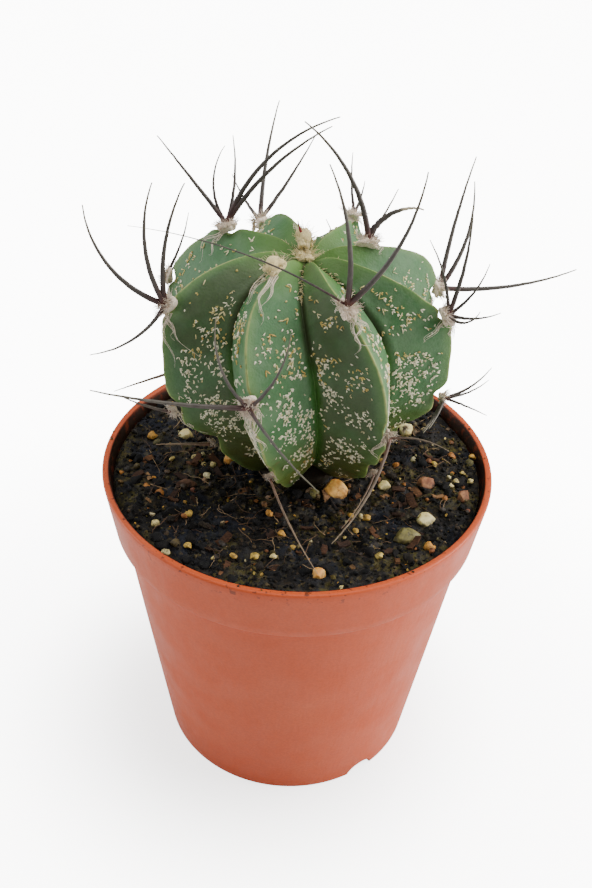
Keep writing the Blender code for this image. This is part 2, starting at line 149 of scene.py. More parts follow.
AREOLES = (
    Areole("1_crown", 0, 15, 1.3, 0, 6, 10, ()),
    Areole("1_middle", 0, 88, 1.3, 0, 6, 6, (
        Spine(18.5, -57, 9, -64, 18, 0.9), Spine(13, 80, 48, 90, 84, 0.8),
        Spine(14, 50, -20, 60, -8, 0.72), Spine(14, -56, 50, 101, 82, 0.72))),
    Areole("1_lower", 0, 121, 0.75, 0.8, 0, 0, (
        Spine(13.5, 37, -32, 50, -25, 0.52), Spine(5, 55, -50, 48, -58, 0.6))),
    Areole("2_upper", 1, 35.5, 1.3, 0, 8, 9, (
        Spine(18, 66, 85, -100, 66), Spine(19, 59, 47, 98, 83),
        Spine(27, -112, 34, -118, 2, 0.38))),
    Areole("2_middle", 1, 102, 1.05, 0.6, 2, 4, (
        Spine(15, -48, -38, -82, -26, 0.66), Spine(7.5, 49, 18, 24, -13, 0.62))),
    Areole("2_lower", 1, 128, 0.6, 0.9, 0, 0, (Spine(8.5, -60, -30, -80, -22, 0.6),)),
    Areole("3_upper", 2, 64, 1.2, 0, 9, 7, (
        Spine(10, 140, 79, -168, 58), Spine(13.5, 50, 71, 122, 79),
        Spine(8, 26, 36, 72, 66), Spine(5, -34, -30, 60, 62), Spine(6.5, -5, -5, 21, 29))),
    Areole("3_middle", 2, 108, 0.85, 0.3, 0, 0, (
        Spine(7.5, 22, 13, 52, 40), Spine(6, -9, -6, -12, -12, 0.9),
        Spine(6.5, -100, -22, -112, -12), Spine(6.2, -94, -14, -106, -6),
        Spine(5.8, -106, -28, -116, -20), Spine(6.4, 12, 8, 44, 30, 0.9))),
    Areole("3_lower", 2, 130, 0.5, 1, 0, 0, ()),
    Areole("4_upper", 3, 17, 1.3, 0, 5, 4, (
        Spine(17, 108, 73, 166, 37, 1.1), Spine(8.5, 39, 57, -32, -5, 2.0, 0.36))),
    Areole("4_middle", 3, 85, 1.2, 0, 5, 5, (
        Spine(18.5, 49, 52, 35, 50), Spine(15.5, 12, 40, 72, 53), Spine(19.5, -23, -5, -8, 15))),
    Areole("4_lower", 3, 122, 0.75, 0.7, 0, 0, (Spine(8, 24, -4, 30, 6), Spine(8, 62, 0, 70, 10))),
    Areole("5_upper", 4, 36, 1.4, 0, 6, 6, (
        Spine(8, 49, 57, 20, 59), Spine(7, 10, 12, 20, 16))),
    Areole("5_middle", 4, 92, 1.4, 0, 6, 6, (
        Spine(14, -20, 22, -28, 54), Spine(11, 30, 4, 40, 20), Spine(12, 4, -6, 0, 8))),
    Areole("5_lower", 4, 124, 0.7, 0.85, 0, 0, (
        Spine(9, -32, -2, -44, 6), Spine(8, 30, 0, 38, 10))),
    Areole("6_crown", 5, 4, 1.25, 0, 3, 3, (Spine(2.6, 100, 62, 100, 78),)),
    Areole("6_upper", 5, 66, 1.4, 0, 6, 7, (
        Spine(17.5, -20, 48, -39, 46), Spine(14, -69, 41, -60, 45), Spine(12, 6, 2, 0, 16))),
    Areole("6_lower", 5, 108, 0.9, 0.6, 3, 4, (Spine(12, 32, 14, 44, 40), Spine(13, 4, 4, 0, 18))),
    Areole("7_upper", 6, 31, 1.3, 0, 7, 8, (
        Spine(10.5, 0, 42, -108, 46), Spine(20.5, -104, 64, -152, 20),
        Spine(18.5, -122, 56, -147, 30), Spine(14, 6, 44, 8, 44), Spine(11.5, -81, 51, -40, 52))),
    Areole("7_middle", 6, 82, 1.1, 0.1, 5, 6, (
        Spine(9, -110, 44, -77, 53), Spine(9, -75, -22, -64, -8))),
    Areole("7_lower", 6, 118, 0.75, 0.7, 2, 3, (
        Spine(10.5, 16, -22, 10, -28), Spine(8, -76, -8, -84, 2))),
    Areole("8_upper", 7, 61.5, 1.3, 0, 8, 9, (
        Spine(16, -24, 63, 166, 70), Spine(15.5, -75, 79, 169, 63),
        Spine(16, -20, 20, -95, 68), Spine(11.5, 38, -36, -8, 0))),
    Areole("8_middle", 7, 107, 0.85, 0.4, 4, 4, (Spine(6.5, -28, 13, -36, 25),)),
    Areole("8_lower", 7, 129, 0.65, 0.95, 0, 0, (Spine(7, -28, 6, -26, 2),)),
)

# reach is a share of the way from the neck to the wall; sizes are in mm and turns in degrees
Stone = namedtuple("Stone", "name bearing reach length width height turn finish")
STONES = (
    Stone("amber_large", 46, 0.0, 3.6, 3.1, 2.9, 15, "amber_stone"),
    Stone("olive_small", 22, 0.0, 1.8, 1.6, 1.6, 40, "olive_stone"),
    Stone("amber_left", -95, 0.12, 2.7, 2.3, 2.2, 20, "amber_stone"),
    Stone("pale_left", -110, 0.60, 2.3, 1.9, 1.8, 0, "cream_stone"),
    Stone("pale_right", 121, 0.66, 2.5, 2.2, 2.2, 70, "cream_stone"),
    Stone("pale_front", 59, 0.78, 2.6, 2.2, 2.1, 30, "cream_stone"),
    Stone("olive_flat", 47, 0.80, 3.9, 2.7, 1.8, 25, "olive_stone"),
    Stone("yellow_front", 9, 0.87, 1.9, 1.7, 1.7, 50, "amber_stone"),
    Stone("rust_chip", 82, 0.65, 2.8, 2.4, 1.5, 60, "rust_stone"),
    Stone("tan_small", 73, 0.33, 1.9, 1.6, 1.6, 10, "cream_stone"),
    Stone("red_chip", 78, 0.97, 2.7, 1.9, 1.3, 80, "rust_stone"),
    Stone("bark_chip", -71, 0.52, 3.2, 1.4, 1.3, 5, "bark_stone"),
)
STONE_SINK = 0.38
# light, dark and stain as display colours, roughness, and the share of light let in
STONE_FINISHES = {
    "amber_stone": ((240, 188, 98), (216, 146, 58), (150, 92, 40), 0.5, 0.2),
    "cream_stone": ((240, 228, 168), (216, 194, 116), (168, 136, 74), 0.55, 0.15),
    "olive_stone": ((134, 126, 66), (98, 90, 44), (60, 54, 30), 0.5, 0.0),
    "rust_stone": ((164, 112, 72), (126, 74, 48), (76, 46, 32), 0.7, 0.0),
    "bark_stone": ((112, 76, 50), (64, 42, 30), (36, 26, 20), 0.85, 0.0),
}

# the brightest of the small grains: bearing, radius and size in mm, tint
Grain = namedtuple("Grain", "bearing radius size tint")
GRAINS = (
    Grain(48, 24, 1.45, 0.66), Grain(42, 14.5, 1.05, 0.72), Grain(99, 25.5, 1.05, 0.7),
    Grain(100, 22.5, 1.15, 0.56), Grain(97, 19, 1.05, 0.5), Grain(85, 22.5, 0.9, 0.84),
    Grain(87, 21.5, 0.7, 0.88), Grain(82, 21.8, 0.8, 0.86), Grain(90, 23.5, 0.7, 0.8),
    Grain(86, 24.5, 0.8, 0.84), Grain(-74, 12.8, 1.35, 0.9), Grain(-86, 13.2, 0.85, 0.82),
    Grain(-104, 22, 1.55, 0.68), Grain(-68, 20, 1.25, 0.56), Grain(-53, 23, 1.05, 0.84),
    Grain(-37, 22.5, 1.15, 0.74), Grain(-14, 20, 1.15, 0.76), Grain(-21, 21, 0.95, 0.72),
    Grain(-17, 11.5, 1.15, 0.66), Grain(-6, 15, 1.15, 0.68), Grain(-7, 19.5, 0.85, 0.84),
    Grain(0, 17.5, 0.9, 0.74), Grain(-40, 25.4, 1.0, 0.86), Grain(24, 7.5, 0.95, 0.4),
)

# where each scatter of small things starts its random draws
SEEDS = {"crumbs": 41, "grit": 17, "bark": 23, "fibres": 29, "flecks": 7, "crown": 55,
         "wool": 100, "spines": 300}
FLECK_STATIONS = (12, 150)
FLECK_BATCH = 4000
SPINE_SECTIONS = 26

CAMERA_PLACE = Vector((0.00107, -0.12956, 0.14888))
CAMERA_DOWN = radians(36.87)
CAMERA_TURN = radians(0.6)
CAMERA_ROLL = radians(2.37)
CAMERA_LENS = 46.88


def tone(red, green, blue):
    """A display colour as the linear colour that shaders take."""
    return tuple((((value / 255) + 0.055) / 1.055) ** 2.4 for value in (red, green, blue))


# ---------------------------------------------------------------- settings

def colour_of(name, description, *rgb):
    return FloatVectorProperty(name=name, description=description, subtype="COLOR",
                               default=tone(*rgb), min=0, max=1)


def length_of(name, description, mm):
    return FloatProperty(name=name, description=description, unit="LENGTH", default=mm * MM,
                         min=0, precision=5)


def number_of(name, description, default):
    return IntProperty(name=name, description=description, default=default, min=0)


class PotSettings(bpy.types.PropertyGroup):
    """Sizes and colours of the nursery pot"""
    colour: colour_of("Plastic", "Colour of the pot's plastic", 196, 82, 40)
    worn_colour: colour_of("Chalky patches", "Colour of the faint chalky patches", 206, 100, 62)
    edge_round: length_of("Lip rounding", "Rounding of the lip's edges", 0.32)
    warp: length_of("Warp", "How far the thin wall wanders from a true circle", 0.12)


class SoilSettings(bpy.types.PropertyGroup):
    """Sizes and colours of the potting mix"""
    colour: colour_of("Wet earth", "Darkest colour of the mix", 9, 9, 11)
    dry_colour: colour_of("Dry earth", "Colour of the drier crumbs", 78, 64, 46)
    roughness: length_of("Roughness", "Height of the surface's lumps", 0.55)
    crumbs: number_of("Crumbs", "Loose crumbs on the surface", 5000)
    grit: number_of("Grit", "Small coloured grains", 460)
    bark: number_of("Bark", "Flakes of bark", 110)
    fibres: number_of("Fibres", "Fine root fibres", 240)


class StemSettings(bpy.types.PropertyGroup):
    """Colours and relief of the cactus body"""
    colour: colour_of("Skin", "Main green of the flanks", 58, 103, 58)
    bloom_colour: colour_of("Bloom", "Greyer green of the waxy bloom", 92, 120, 88)
    groove_colour: colour_of("Groove", "Bright green low in the grooves", 64, 112, 36)
    foot_colour: colour_of("Foot", "Olive green near the soil", 84, 98, 36)
    crest_colour: colour_of("Crest", "Pale corky line along a crest", 160, 164, 104)
    dimple: length_of("Dimple", "Depth of the notch under an areole", 0.55)
    chin: length_of("Chin", "Height of the swelling under an areole", 0.45)
    flecks: number_of("Flecks", "White woolly flecks on the skin", 5600)
    fleck_length: length_of("Fleck length", "Usual length of a fleck", 0.48)
    fleck_colour: colour_of("Fleck colour", "Cream colour of the flecks", 248, 243, 218)


class SpineSettings(bpy.types.PropertyGroup):
    """Sizes and colours of the spines"""
    radius: length_of("Radius", "Radius at the root of a spine", 0.34)
    root_colour: colour_of("Root", "Reddish colour near the wool", 66, 36, 34)
    colour: colour_of("Middle", "Grey brown of most of a spine", 66, 59, 54)
    tip_colour: colour_of("Tip", "Paler colour of the thin tip", 112, 106, 84)
    dead_colour: colour_of("Dead", "Greyish tan of a dead spine", 122, 102, 80)


class WoolSettings(bpy.types.PropertyGroup):
    """Sizes and colours of the areoles' wool"""
    colour: colour_of("Wool", "Cream of fresh wool", 242, 224, 202)
    old_colour: colour_of("Old wool", "Colour of old wool", 152, 132, 110)
    crown_colour: colour_of("Crown wool", "Yellowish wool at the growing point", 230, 212, 156)
    hairs: number_of("Hairs", "Short hairs on each pad", 210)
    hair_length: length_of("Hair length", "Usual length of a pad's hairs", 1.1)
    hair_radius: length_of("Hair radius", "Radius of a hair at its root", 0.045)


class StageSettings(bpy.types.PropertyGroup):
    """Floor and light"""
    floor_colour: FloatVectorProperty(
        name="Floor", description="Colour of the floor", subtype="COLOR",
        default=(0.9, 0.9, 0.89), min=0, max=1)
    floor_glow: FloatProperty(
        name="Floor glow", description="Extra light seen from the floor", default=10.5, min=0)
    key: FloatProperty(
        name="Key light", description="Power of the large light", default=2.9, min=0, unit="POWER")
    fill: FloatProperty(
        name="Fill light", description="Strength of the light from the sky", default=0.36, min=0)


# ---------------------------------------------------------------- shapes

Shape = namedtuple("Shape", "points corners sides")
Copy = namedtuple("Copy", "shape points values")


def start_piece(name, add, **sizes):
    """A new primitive at the origin, as the only thing selected."""
    bpy.ops.object.select_all(action="DESELECT")
    add(**sizes)
    piece = bpy.context.object
    piece.name = piece.data.name = name
    return piece


def select_only(piece):
    bpy.ops.object.select_all(action="DESELECT")
    piece.select_set(True)
    bpy.context.view_layer.objects.active = piece


@contextmanager
def edited_mesh():
    """Edit mode with all selected, left with every face turned outward."""
    bpy.ops.object.mode_set(mode="EDIT")
    bpy.ops.mesh.select_all(action="SELECT")
    yield
    bpy.ops.mesh.select_all(action="SELECT")
    bpy.ops.mesh.normals_make_consistent(inside=False)
    bpy.ops.object.mode_set(mode="OBJECT")


def start_roll(name, turns, rows):
    """A grid to roll up into a closed skin, with each point's turn and way down from 0 to 1."""
    piece = start_piece(name, bpy.ops.mesh.primitive_grid_add, x_subdivisions=turns,
                        y_subdivisions=rows, size=1, calc_uvs=False)
    points = read_points(piece.data)
    return piece, points[:, 0] + 0.5, 0.5 - points[:, 1]


def close_roll(piece):
    """Joins the rolled grid's edges and closes its poles."""
    with edited_mesh():
        bpy.ops.mesh.remove_doubles(threshold=1e-7)
    piece.data.shade_smooth()


def read_points(mesh):
    points = np.empty(len(mesh.vertices) * 3)
    mesh.vertices.foreach_get("co", points)
    return points.reshape(-1, 3)


def write_points(mesh, points):
    mesh.vertices.foreach_set("co", np.ascontiguousarray(points).ravel())
    mesh.update()


def write_values(mesh, name, values):
    mesh.attributes.new(name, "FLOAT", "POINT").data.foreach_set("value", np.asarray(values, float))


def take_shape(piece):
    """The mesh of a modelled shape as arrays, ready to copy. The shape's object goes."""
    mesh = piece.data
    corners = np.empty(len(mesh.loops), np.int32)
    mesh.loops.foreach_get("vertex_index", corners)
    sides = np.empty(len(mesh.polygons), np.int32)
    mesh.polygons.foreach_get("loop_total", sides)
    shape = Shape(read_points(mesh), corners, sides)
    bpy.data.objects.remove(piece, do_unlink=True)
    return shape


def gather(name, copies):
    """One piece made of many copies of modelled shapes, with each copy's values per point."""
    starts = np.cumsum([0] + [len(copy.points) for copy in copies])
    points = np.concatenate([copy.points for copy in copies])
    corners = np.concatenate([copy.shape.corners + start for copy, start in zip(copies, starts)])
    sides = np.concatenate([copy.shape.sides for copy in copies])
    mesh = bpy.data.meshes.new(name)
    mesh.vertices.add(len(points))
    mesh.vertices.foreach_set("co", points.ravel())
    mesh.loops.add(len(corners))
    mesh.loops.foreach_set("vertex_index", corners.astype(np.int32))
    mesh.polygons.add(len(sides))
    mesh.polygons.foreach_set("loop_start", (np.cumsum(sides) - sides).astype(np.int32))
    mesh.update(calc_edges=True)
    mesh.validate()
    for key in copies[0].values:
        write_values(mesh, key, np.concatenate(
            [np.broadcast_to(copy.values[key], len(copy.points)) for copy in copies]))
    mesh.shade_smooth()
    piece = bpy.data.objects.new(name, mesh)
    bpy.context.scene.collection.objects.link(piece)
    return piece


def finish_piece(piece, material, slot, *nodes):
    """Gives a piece its material and its body, and hides the CAD nodes it stands for."""
    piece.data.materials.clear()
    piece.data.materials.append(material)
    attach(piece, "root")
    if nodes:
        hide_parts(*nodes)


def lumps(points, size, seed=0.0):
    """Smooth noise between -1 and 1 at each point, with features of a size."""
    shift = Vector((seed, seed * 1.7, seed * 0.6))
    return np.array([noise.noise(Vector(point) / size + shift) for point in points])


def straight_tube(name, sides, sections):
    """A closed tube of radius 1 along Z from 0 to 1, drawn out of a circle."""
    tube = start_piece(name, bpy.ops.mesh.primitive_circle_add, vertices=sides, radius=1,
                       fill_type="NGON")
    with edited_mesh():
        for _ in range(sections):
            bpy.ops.mesh.extrude_region_move(
                TRANSFORM_OT_translate={"value": (0, 0, 1 / sections)})
        bpy.ops.mesh.select_all(action="DESELECT")
        bpy.ops.mesh.select_non_manifold()
        bpy.ops.mesh.edge_face_add()
    return take_shape(tube)


def ball(name, subdivisions, lumpiness, seed):
    """A lumpy ball of radius 1."""
    piece = start_piece(name, bpy.ops.mesh.primitive_ico_sphere_add, subdivisions=subdivisions,
                        radius=1)
    points = read_points(piece.data)
    points *= 1 + lumpiness * lumps(points, 0.9, seed)[:, None]
    write_points(piece.data, points)
    return take_shape(piece)


def balls(name, count, subdivisions, lumpiness, seed):
    return [ball(f"{name}_{i}", subdivisions, lumpiness, i + seed) for i in range(count)]


def bend_tube(shape, start, first, last, length, radius, tip=0.3, taper=1.0, wave=0.0, phase=0.0):
    """Points of a tube bent evenly from its first direction to its last one."""
    first, last = np.array(first) / np.linalg.norm(first), np.array(last) / np.linalg.norm(last)
    side = last - first * (first @ last)
    if np.linalg.norm(side) < 1e-4:
        side = np.cross(first, (0.3, 0.5, 0.8))
    side /= np.linalg.norm(side)
    turn = max(1e-3, np.arccos(np.clip(first @ last, -1, 1)))
    cross = np.cross(first, side)
    share = shape.points[:, 2]
    bend = turn * share
    middle = (np.outer(np.sin(bend), first) + np.outer(1 - np.cos(bend), side)) * length / turn
    out = np.outer(-np.sin(bend), first) + np.outer(np.cos(bend), side)
    width = radius * (1 - (1 - tip) * share**taper)
    x, y = shape.points[:, 0] * width, shape.points[:, 1] * width
    if wave:
        swing = wave * length * share * np.sin(phase + 4 * pi * share)
        sway = wave * length * share * np.sin(phase * 1.7 + 8.2 * share)
        x, y = x + swing, y + sway
    return np.array(start) + middle + out * x[:, None] + cross * y[:, None]


def sweep_tube(shape, path, out, radius, tip=0.3):
    """Points of a tube laid along a path, with a direction that lies across the path."""
    share = shape.points[:, 2]
    marks = np.linspace(0, 1, len(path))
    middle = np.stack([np.interp(share, marks, path[:, axis]) for axis in range(3)], -1)
    slope = np.gradient(path, axis=0)
    slope = np.stack([np.interp(share, marks, slope[:, axis]) for axis in range(3)], -1)
    slope /= np.linalg.norm(slope, axis=1, keepdims=True)
    aside = np.cross(slope, out)
    aside /= np.linalg.norm(aside, axis=1, keepdims=True)
    above = np.cross(aside, slope)
    width = radius * (1 - (1 - tip) * share)
    return middle + aside * (shape.points[:, 0] * width)[:, None] \
        + above * (shape.points[:, 1] * width)[:, None]


# ---------------------------------------------------------------- plant shape

def pot_inner_radius(height):
    """Inside radius of the pot's wall at a height."""
    step = BAND_LEVEL + WALL
    if height > step:
        share = (height - step) / (POT_HEIGHT - step)
        return BAND_RADIUS - WALL + share * (RIM_RADIUS - BAND_RADIUS)
    share = (height - POT_FLOOR) / (step - POT_FLOOR)
    return BASE_RADIUS - WALL + share * (BODY_RADIUS - BASE_RADIUS)


SOIL_RADIUS = pot_inner_radius(SOIL_LEVEL) - CLEARANCE


def soil_height(radius):
    """Height of the mix's smooth mound."""
    share = radius / pot_inner_radius(SOIL_LEVEL)
    return SOIL_LEVEL + SOIL_MOUND * (1 - share**2)


NECK_LEVEL = soil_height(NECK_RADIUS) + NECK_SHOWING
NECK_ANGLE = pi - asin(NECK_RADIUS / STEM_RADIUS)
WIDEST_LEVEL = NECK_LEVEL - STEM_DEPTH * cos(NECK_ANGLE)


def bell(value, middle, width):
    """1 at the middle value, falling to nearly 0 two widths away."""
    return np.exp(-(((value - middle) / width) ** 2))


def superellipse(radius, height, squareness, angle):
    power = 2 / squareness
    return radius * np.abs(np.sin(angle)) ** power, height * np.abs(np.cos(angle)) ** power


def rib_line(angle, crest):
    """Radius and height of a rib's crest, or of the groove beside it."""
    low = (STEM_RADIUS, STEM_DEPTH) if crest else (GROOVE_RADIUS, GROOVE_DEPTH)
    high = (STEM_RADIUS, CROWN_HEIGHT, SHOULDER)
    dip = CROWN_DIP
    if not crest:
        high = (GROOVE_RADIUS, GROOVE_HEIGHT, GROOVE_SHOULDER)
        dip = CROWN_DIP - CROWN_HEIGHT + GROOVE_HEIGHT
    low_radius, depth = superellipse(*low, 2, angle)
    radius, height = superellipse(*high, angle)
    height = WIDEST_LEVEL + height - dip * bell(radius, 0, CROWN_DIP_WIDTH)
    under = angle > pi / 2
    return np.where(under, low_radius, radius), np.where(under, WIDEST_LEVEL - depth, height)


def rib_bearing(place):
    """Bearing in radians at a place round the stem, whole numbers being crests."""
    count = len(RIB_BEARINGS)
    number = np.floor(place).astype(int)
    first, last = RIB_BEARINGS[number % count], RIB_BEARINGS[(number + 1) % count]
    return np.radians(first + (place - number) * ((last - first) % 360))


def off_crest(place):
    return np.abs(2 * (place - np.round(place)))


def crest_relief(place, angle, dimple, chin):
    """Notches at the areoles and the small swellings under and over them."""
    relief = np.zeros_like(place)
    count = len(RIB_BEARINGS)
    for areole in AREOLES:
        if areole.station < 25:
            continue
        aside = 2 * ((place - areole.rib + count / 2) % count - count / 2)
        down = np.degrees(angle) - areole.station
        relief -= dimple * bell(down, 0, 4.0) * bell(aside, 0, 0.17)
        relief += chin * bell(down, 7.5, 4.5) * bell(aside, 0, 0.22)
        relief += 0.5 * chin * bell(down, -7, 5) * bell(aside, 0, 0.2)
    return relief


def skin_points(place, angle, dimple=0.0, chin=0.0):
    """Points of the ribbed skin, by their place round the stem and angle from the crown."""
    place, angle = np.asarray(place, float), np.asarray(angle, float)
    off = off_crest(place)
    rounded = np.sqrt(off**2 + CREST_ROUND**2) - CREST_ROUND
    share = 1 - rounded**RIB_FLANK
    crest, groove = rib_line(angle, True), rib_line(angle, False)
    radius = groove[0] + share * (crest[0] - groove[0])
    height = groove[1] + share * (crest[1] - groove[1])
    swell = np.sin(np.clip(angle, 0, NECK_ANGLE) / NECK_ANGLE * pi)
    proud = -0.2 * MM * bell(1 - off, 0, 0.05) * swell
    proud += 0.25 * MM * bell(1 - off, 0.14, 0.10) * swell
    tuck = RIB_TUCKS[np.round(place).astype(int) % len(RIB_TUCKS)]
    proud -= share * tuck * bell(angle, TUCK_STATION, TUCK_SPREAD)
    if dimple or chin:
        proud += crest_relief(place, angle, dimple, chin)
    radius = radius + proud * np.sin(angle)
    height = height + proud * np.cos(angle)
    bearing = rib_bearing(place) + TWIST * (angle - TWIST_FROM)
    return np.stack([radius * np.sin(bearing), -radius * np.cos(bearing), height], -1)


def skin_frames(place, angle):
    """Points of the skin with the outward and downward directions there."""
    nudge = 0.002
    point = skin_points(place, angle)
    down = skin_points(place, angle + nudge) - skin_points(place, angle - nudge)
    aside = skin_points(place + nudge, angle) - skin_points(place - nudge, angle)
    out = np.cross(down, aside)
    out /= np.linalg.norm(out, axis=-1, keepdims=True)
    return point, out, down / np.linalg.norm(down, axis=-1, keepdims=True)


def crest_frame(rib, station):
    """A point on a crest, the outward direction there and the rib's bearing."""
    angle, nudge = radians(station), 0.001
    place = np.array([float(rib)])
    point = skin_points(place, np.array([angle]))[0]
    along = (skin_points(place, np.array([angle + nudge]))
             - skin_points(place, np.array([angle - nudge])))[0]
    bearing = float(rib_bearing(place)[0]) + TWIST * (angle - TWIST_FROM)
    out = np.cross(along, around(1, bearing + pi / 2, 0))
    return point, out / np.linalg.norm(out), bearing


def around(radius, bearing, height):
    return np.array((radius * sin(bearing), -radius * cos(bearing), height))


def direction(bearing, rise):
    return around(cos(rise), bearing, sin(rise))


def soil_relief(x, y, roughness):
    """Height of the mix's lumps above its smooth mound."""
    relief = 0.4 * MM * noise.noise(Vector((x, y, 0)) / (4 * MM))
    for share, size, shift in ((1, 1.9, (3, 1, 7)), (0.45, 0.9, (8, 5, 2)),
                               (0.25, 0.45, (1, 9, 4))):
        relief += share * roughness * noise.noise(Vector((x, y, 0)) / (size * MM) + Vector(shift))
    return relief


# ---------------------------------------------------------------- finishes

class Finish:
    """A procedural material that is mixed step by step from patterns in Object coordinates."""

    def __init__(self, name, roughness, specular=0.5):
        self.material = bpy.data.materials.new(name)
        self.material.use_nodes = True
        self.tree = self.material.node_tree
        self.shader = self.tree.nodes["Principled BSDF"]
        self.put("Roughness", roughness)
        self.put("Specular IOR Level", specular)
        self.place = self.node("TexCoord").outputs["Object"]

    def node(self, kind):
        return self.tree.nodes.new("ShaderNode" + kind)

    def plug(self, item, socket):
        """Gives a socket another socket's value, or a plain number or colour."""
        if isinstance(item, bpy.types.NodeSocket):
            self.tree.links.new(item, socket)
        elif isinstance(item, (int, float)):
            socket.default_value = item
        else:
            socket.default_value = (*item, 1)

    def put(self, name, item):
        self.plug(item, self.shader.inputs[name])

    def value_of(self, name):
        """A value that the mesh holds for each of its points."""
        attribute = self.node("Attribute")
        attribute.attribute_name = name
        return attribute.outputs["Fac"]

    def moved(self, location=(0, 0, 0), scale=(1, 1, 1)):
        """Object coordinates, shifted or stretched."""
        mapping = self.node("Mapping")
        mapping.inputs["Location"].default_value = location
        mapping.inputs["Scale"].default_value = scale
        self.plug(self.place, mapping.inputs["Vector"])
        return mapping.outputs["Vector"]

    def height(self):
        split = self.node("SeparateXYZ")
        self.plug(self.place, split.inputs[0])
        return split.outputs["Z"]

    def length(self, vector):
        across = self.node("VectorMath")
        across.operation = "LENGTH"
        self.plug(vector, across.inputs[0])
        return across.outputs["Value"]

    def cloud(self, size, detail=3.0, roughness=0.55, place=None):
        """Noise with features of a size in metres."""
        texture = self.node("TexNoise")
        for key, item in (("Scale", 1 / size), ("Detail", detail), ("Roughness", roughness),
                          ("Vector", place or self.place)):
            self.plug(item, texture.inputs[key])
        return texture.outputs["Fac"]

    def cells(self, size):
        """Rounded cells of a size in metres."""
        texture = self.node("TexVoronoi")
        self.plug(1 / size, texture.inputs["Scale"])
        self.plug(self.place, texture.inputs["Vector"])
        return texture.outputs

    def band(self, value, low, high, start=0.0, end=1.0):
        """A value carried smoothly from one range to another, and held at its ends."""
        step = self.node("MapRange")
        step.interpolation_type = "SMOOTHSTEP"
        for key, item in (("From Min", low), ("From Max", high), ("To Min", start),
                          ("To Max", end), ("Value", value)):
            self.plug(item, step.inputs[key])
        return step.outputs["Result"]

    def blend(self, factor, first, second, mode="MIX"):
        """Two colours mixed by a factor."""
        mix = self.node("Mix")
        mix.data_type = "RGBA"
        mix.blend_type = mode
        for item, number in ((factor, 0), (first, 6), (second, 7)):
            self.plug(item, mix.inputs[number])
        return mix.outputs[2]

    def shaded(self, colour, shade):
        """A colour darkened or lightened by a plain value."""
        return self.blend(1.0, colour, shade, "MULTIPLY")

    def join(self, first, second, operation="MULTIPLY"):
        math = self.node("Math")
        math.operation = operation
        self.plug(first, math.inputs[0])
        self.plug(second, math.inputs[1])
        return math.outputs[0]

    def ramp(self, value, *stops):
        """A colour chosen by a value from (place, colour) stops."""
        node = self.node("ValToRGB")
        scale = node.color_ramp
        for number, (place, colour) in enumerate(stops):
            stop = scale.elements[number] if number < 2 else scale.elements.new(place)
            stop.position = place
            stop.color = (*colour, 1)
        self.plug(value, node.inputs["Fac"])
        return node.outputs["Color"]

    def bumps(self, *layers):
        """Bump from (height, depth in mm) layers, the broadest first."""
        normal = None
        for height, depth in layers:
            bump = self.node("Bump")
            bump.inputs["Distance"].default_value = depth * MM
            self.plug(height, bump.inputs["Height"])
            if normal:
                self.plug(normal, bump.inputs["Normal"])
            normal = bump.outputs["Normal"]
        self.put("Normal", normal)

    def glow_through(self, weight, *radii):
        """Light that scatters under the surface, by radii in mm."""
        self.put("Subsurface Weight", weight)
        self.shader.inputs["Subsurface Radius"].default_value = [radius * MM for radius in radii]
        self.put("Subsurface Scale", 1.0)


def tinted_finish(name, roughness, specular, key, stops, grain, shades, bump, depth):
    """A finish whose copies differ by a value. Its grain and its bump are each a size in mm,
    with a cloud's detail and roughness where they aren't the usual ones."""
    finish = Finish(name, roughness, specular)
    colour = finish.ramp(finish.value_of(key), *stops)
    shade = finish.band(finish.cloud(grain[0] * MM, *grain[1:]), *shades)
    finish.put("Base Color", finish.shaded(colour, shade))
    finish.bumps((finish.cloud(bump[0] * MM, *bump[1:]), depth))
    return finish.material


def plastic_finish(settings):
    """Satin terracotta plastic, chalky in patches and darker brown inside its lip."""
    finish = Finish("terracotta_plastic", 0.4, 0.3)
    height = finish.height()
    patches = finish.band(finish.cloud(14 * MM, 5), 0.4, 0.75, 0, 0.4)
    colour = finish.blend(patches, settings.colour, settings.worn_colour)
    colour = finish.shaded(colour, finish.band(finish.cloud(0.35 * MM, 2), 0.3, 0.7, 0.94, 1.05))
    near_lip = finish.band(height, POT_HEIGHT - 3 * MM, POT_HEIGHT, 0, 1)
    dust = finish.join(near_lip, finish.band(finish.cloud(0.9 * MM, 4), 0.60, 0.68, 0, 0.75))
    colour = finish.blend(dust, colour, tone(58, 36, 26))
    inner_wall = RIM_RADIUS - WALL
    inner = finish.join(
        finish.band(finish.length(finish.moved(scale=(1, 1, 0))), inner_wall - 0.1 * MM,
                    inner_wall + 0.15 * MM, 1, 0),
        finish.band(height, SOIL_LEVEL - 2.6 * MM, SOIL_LEVEL - 2 * MM))
    inner = finish.join(inner, finish.band(finish.cloud(1.6 * MM, 5), 0.25, 0.5, 0.6, 1))
    finish.put("Base Color", finish.blend(inner, colour, tone(50, 32, 24)))
    finish.put("Roughness", finish.band(finish.cloud(6 * MM, 5), 0.3, 0.7, 0.33, 0.47))
    flow = finish.cloud(2.2 * MM, 3, place=finish.moved(scale=(1, 1, 0.12)))
    finish.bumps((flow, 0.06), (finish.cloud(0.22 * MM, 2), 0.012))
    return finish.material


